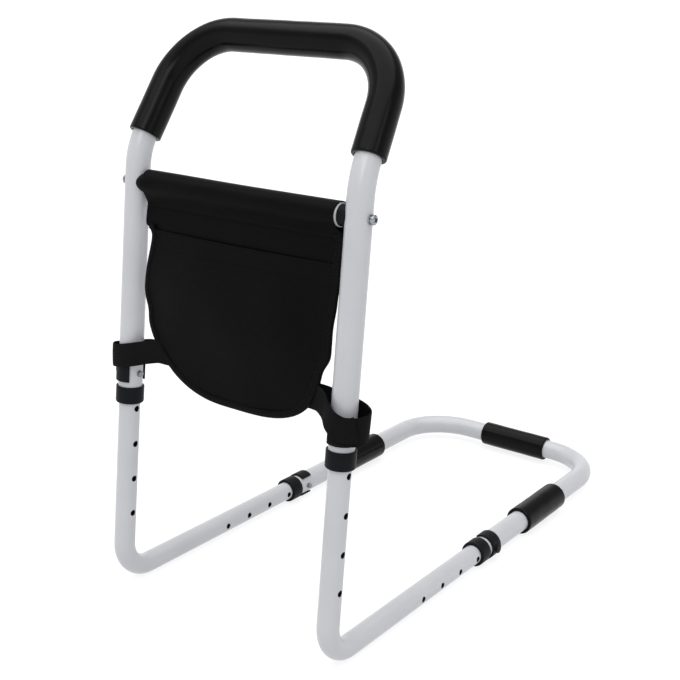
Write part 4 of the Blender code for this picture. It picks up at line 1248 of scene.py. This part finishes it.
def strap(name, way, points, width, thickness, node_name):
    """Webbing round an upright: a flat section with rounded edges carried along a curve. points are outward
    and backward distances from the upright's axis, and the height along it."""
    out, back, height = smooth_curve(points, 220).T[..., None]
    centre = placed(on_upright(way, 0) + UP * height + mirrored(way, ACROSS) * out + ALONG * back)
    run = lengths_along(centre)
    centre, tall, flat = axes_along(centre, run, UPWARD)
    half, edge = width / 2, thickness / 2
    t = np.linspace(-1, 1, 15)
    arc = np.radians(np.linspace(60, -60, 5))
    rim = half - edge + edge * np.cos(arc)
    high = np.concatenate([t * (half - edge), rim, -t * (half - edge), -rim])
    thick = np.concatenate([np.full(15, edge), edge * np.sin(arc), np.full(15, -edge), -edge * np.sin(arc)])
    cup = 0.0004 * (high / half) ** 2
    ends = smoothstep(run, 0, 0.0012) * smoothstep(run[-1] - run, 0, 0.0012)
    thick = thick[None] * (0.35 + 0.65 * ends[:, None])
    sway = 0.0004 * np.sin(run * 130 + 1.0)[:, None] * (high / half)[None]
    places = centre[:, None] + tall[:, None] * high[None, :, None]
    places = places + flat[:, None] * (thick + cup + sway)[..., None]
    mesh = merged(name, [grid_mesh(name, places, False, True, pairs(run, high))])
    mesh = ends_filled(mesh, len(high))
    item = piece(name, mesh, ["webbing"], "hand_part", node_name, 50)
    return item


class BED_BAR_OT_straps(bpy.types.Operator):
    """Makes the webbing straps that hold the pouch's lower corners to the uprights"""

    bl_idname = "bed_bar.straps"
    bl_label = "Webbing straps"

    def execute(self, context):
        # out of the pouch's edge, round the upright's front and outside, and back to the pouch behind it
        left = [
            (-0.060, -0.0010, 0.2600), (-0.046, -0.0030, 0.2588), (-0.030, -0.0075, 0.2555),
            (-0.014, -0.0140, 0.2513), (0.000, -0.0162, 0.2480), (0.012, -0.0138, 0.2460),
            (0.0175, -0.0070, 0.2455), (0.0182, 0.0020, 0.2440), (0.0135, 0.0110, 0.2427),
            (0.000, 0.0160, 0.2455), (-0.014, 0.0155, 0.2490), (-0.030, 0.0120, 0.2513),
            (-0.046, 0.0070, 0.2540), (-0.060, 0.0040, 0.2570),
        ]
        # from the pouch behind the upright, round its outside and across its front
        right = [
            (-0.050, 0.0060, 0.2530), (-0.040, 0.0070, 0.2525), (-0.028, 0.0110, 0.2500),
            (-0.014, 0.0155, 0.2460), (0.000, 0.0175, 0.2436), (0.013, 0.0160, 0.2408),
            (0.0225, 0.0095, 0.2385), (0.0252, 0.0000, 0.2370), (0.0215, -0.0095, 0.2363),
            (0.0120, -0.0158, 0.2362), (0.003, -0.0172, 0.2362), (-0.0030, -0.0166, 0.2360),
            (-0.0065, -0.0156, 0.2359),
        ]
        # from the pouch in front of the upright, pressed over the other strap
        tab = [
            (-0.046, 0.0000, 0.2575), (-0.036, -0.0010, 0.2560), (-0.027, -0.0035, 0.2548),
            (-0.0175, -0.0090, 0.2530), (-0.0080, -0.0160, 0.2483), (0.0005, -0.0190, 0.2430),
            (0.0090, -0.0190, 0.2398), (0.0170, -0.0172, 0.2390), (0.0230, -0.0128, 0.2405),
        ]
        straps = [
            ("webbing_strap_left", -1, left, 0.97, "strap_left", 0.80),
            ("webbing_strap_right", 1, right, 1.08, "strap_right", 0.35),
            ("webbing_tab_right", 1, tab, 0.96, None, 0.35),
        ]
        sizes = context.scene.bed_bar
        for name, way, points, share, node_name, keep in straps:
            item = strap(name, way, points, sizes.strap_width * share, sizes.strap_thickness, node_name)
            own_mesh(item)
        return {"FINISHED"}


# Stage


def soft_sun(name, towards, strength, spread_degrees):
    """A far soft box: light from one direction, spread over an angle as wide as the box looks."""
    light = bpy.data.lights.new(name, "SUN")
    light.energy = strength
    light.angle = radians(spread_degrees)
    lamp = bpy.data.objects.new(name, light)
    x, y, z = towards
    lamp.rotation_euler = Euler((0, np.arctan2(np.hypot(x, y), z), np.arctan2(y, x)))
    bpy.context.scene.collection.objects.link(lamp)


def studio_world():
    """A white cove behind the object and all along the horizon, and a dimmer room above and behind the
    camera: the room's share is a smooth step of how little a direction points away from the camera, times a
    smooth step of its height."""
    world = bpy.data.worlds.new("studio")
    world.use_nodes = True
    tree = world.node_tree
    heading = node(tree, "TexCoord").outputs["Generated"]
    away = node(tree, "VectorMath", {0: heading, 1: VIEW_HEADING}, operation="DOT_PRODUCT").outputs["Value"]
    links = {0: away, 1: 0.78, 2: 0.93, 3: 1.0, 4: 0.0}
    room = node(tree, "MapRange", links, interpolation_type="SMOOTHSTEP").outputs[0]
    height = node(tree, "SeparateXYZ", {0: heading}).outputs["Z"]
    links = {0: height, 1: 0.04, 2: 0.45}
    above = node(tree, "MapRange", links, interpolation_type="SMOOTHSTEP").outputs[0]
    share = node(tree, "Math", {0: room, 1: above}, operation="MULTIPLY").outputs[0]
    strength = node(tree, "MapRange", {0: share, 3: 1.12, 4: 0.40}).outputs[0]
    wire(tree, tree.nodes["Background"], {"Color": linear("#FFFFFF"), "Strength": strength})
    return world


class BED_BAR_OT_stage(bpy.types.Operator):
    """Makes the camera, the plain floor and the studio light"""

    bl_idname = "bed_bar.stage"
    bl_label = "Camera, floor and light"

    def execute(self, context):
        scene = context.scene
        camera = bpy.data.objects.new("camera", bpy.data.cameras.new("camera"))
        camera.location = CAMERA_PLACE
        camera.rotation_euler = Euler(CAMERA_TURN)
        camera.data.lens = CAMERA_LENS
        camera.data.sensor_width = SENSOR
        camera.data.shift_y = CAMERA_SHIFT
        camera.data.clip_start = 0.01
        scene.collection.objects.link(camera)
        scene.camera = camera
        ends = [-FLOOR_HALF, FLOOR_HALF]
        places = np.concatenate([pairs(ends, ends), np.zeros((2, 2, 1))], -1)
        floor = bpy.data.objects.new("floor", grid_mesh("floor", places[:, ::-1]))
        floor.data.materials.append(finish("floor"))
        scene.collection.objects.link(floor)
        scene.world = studio_world()
        scene.view_settings.view_transform = "Standard"
        soft_sun("key_light", (0.30, -0.95, 0.62), 0.46, 22)
        soft_sun("right_light", (0.97, -0.22, 0.55), 0.20, 18)
        soft_sun("left_light", (-2.2, -0.6, 1.4), 0.20, 50)
        soft_sun("overhead_light", (0.0, -0.3, 2.0), 3.3, 90)
        return {"FINISHED"}


# The add-on


def length(name, description, default):
    """A length that a user may change, in metres."""
    return FloatProperty(name=name, description=description, default=default, min=0.0, unit="LENGTH")


def colour(name, description, code):
    """A colour that a user may change, given as sRGB hex."""
    default = linear(code)
    return FloatVectorProperty(name=name, description=description, default=default, size=4, subtype="COLOR")


class BedBarSettings(bpy.types.PropertyGroup):
    """The sizes and colours of the bed assist bar that a user would change."""

    grip_radius: length("Grip radius", "Outside radius of the foam hand grip", GRIP_R)
    sleeve_radius: length("Sleeve radius", "Outside radius of the foam sleeves on the base", FOAM_R)
    cloth_thickness: length("Cloth thickness", "Thickness of the pouch's coated cloth", 0.0010)
    binding_width: length("Binding width", "How far the edge tape reaches in from the pouch's edge", 0.0072)
    stitch_pitch: length("Stitch pitch", "Distance from one stitch to the next", 0.0034)
    strap_width: length("Strap width", "Width of the webbing straps", 0.0250)
    strap_thickness: length("Strap thickness", "Thickness of the webbing straps", 0.0014)
    coat_colour: colour("Coat", "Colour of the tubes' powder coat", "#A9AAAE")
    bore_colour: colour("Bore", "Colour of the bare steel inside the tubes", "#2A2826")
    plastic_colour: colour("Plastic", "Colour of the moulded collars, clips and plugs", "#101113")
    hardware_colour: colour("Hardware", "Colour of the zinc-plated screws and washers", "#96999D")
    pin_colour: colour("Pins", "Colour of the bare steel snap pins", "#85888C")
    foam_colour: colour("Foam", "Colour of the hand grip and the base's sleeves", "#09090A")
    cloth_colour: colour("Cloth", "Colour of the pouch's cloth, its binding and its thread", "#070708")
    webbing_colour: colour("Webbing", "Colour of the straps", "#0E0E0F")
    floor_colour: colour("Floor", "Colour of the studio floor", "#F6F6F7")


OPERATORS = (
    BED_BAR_OT_tubes,
    BED_BAR_OT_fittings,
    BED_BAR_OT_foam,
    BED_BAR_OT_pouch,
    BED_BAR_OT_straps,
    BED_BAR_OT_stage,
)


class BED_BAR_PT_panel(bpy.types.Panel):
    """Lists the bed assist bar's settings and the makers of its pieces"""

    bl_label = "Bed assist bar"
    bl_idname = "BED_BAR_PT_panel"
    bl_space_type = "VIEW_3D"
    bl_region_type = "UI"
    bl_category = "Bed bar"

    def draw(self, context):
        for setting in BedBarSettings.__annotations__:
            self.layout.prop(context.scene.bed_bar, setting)
        for operator in OPERATORS:
            self.layout.operator(operator.bl_idname)


CLASSES = (BedBarSettings, *OPERATORS, BED_BAR_PT_panel)


def register():
    for item in CLASSES:
        bpy.utils.register_class(item)
    bpy.types.Scene.bed_bar = PointerProperty(type=BedBarSettings)


def unregister():
    del bpy.types.Scene.bed_bar
    for item in reversed(CLASSES):
        bpy.utils.unregister_class(item)


def main():
    """Makes every piece in order."""
    register()
    bpy.ops.bed_bar.tubes()
    bpy.ops.bed_bar.fittings()
    bpy.ops.bed_bar.foam()
    bpy.ops.bed_bar.pouch()
    bpy.ops.bed_bar.straps()
    bpy.ops.bed_bar.stage()


if __name__ == "__main__":
    main()
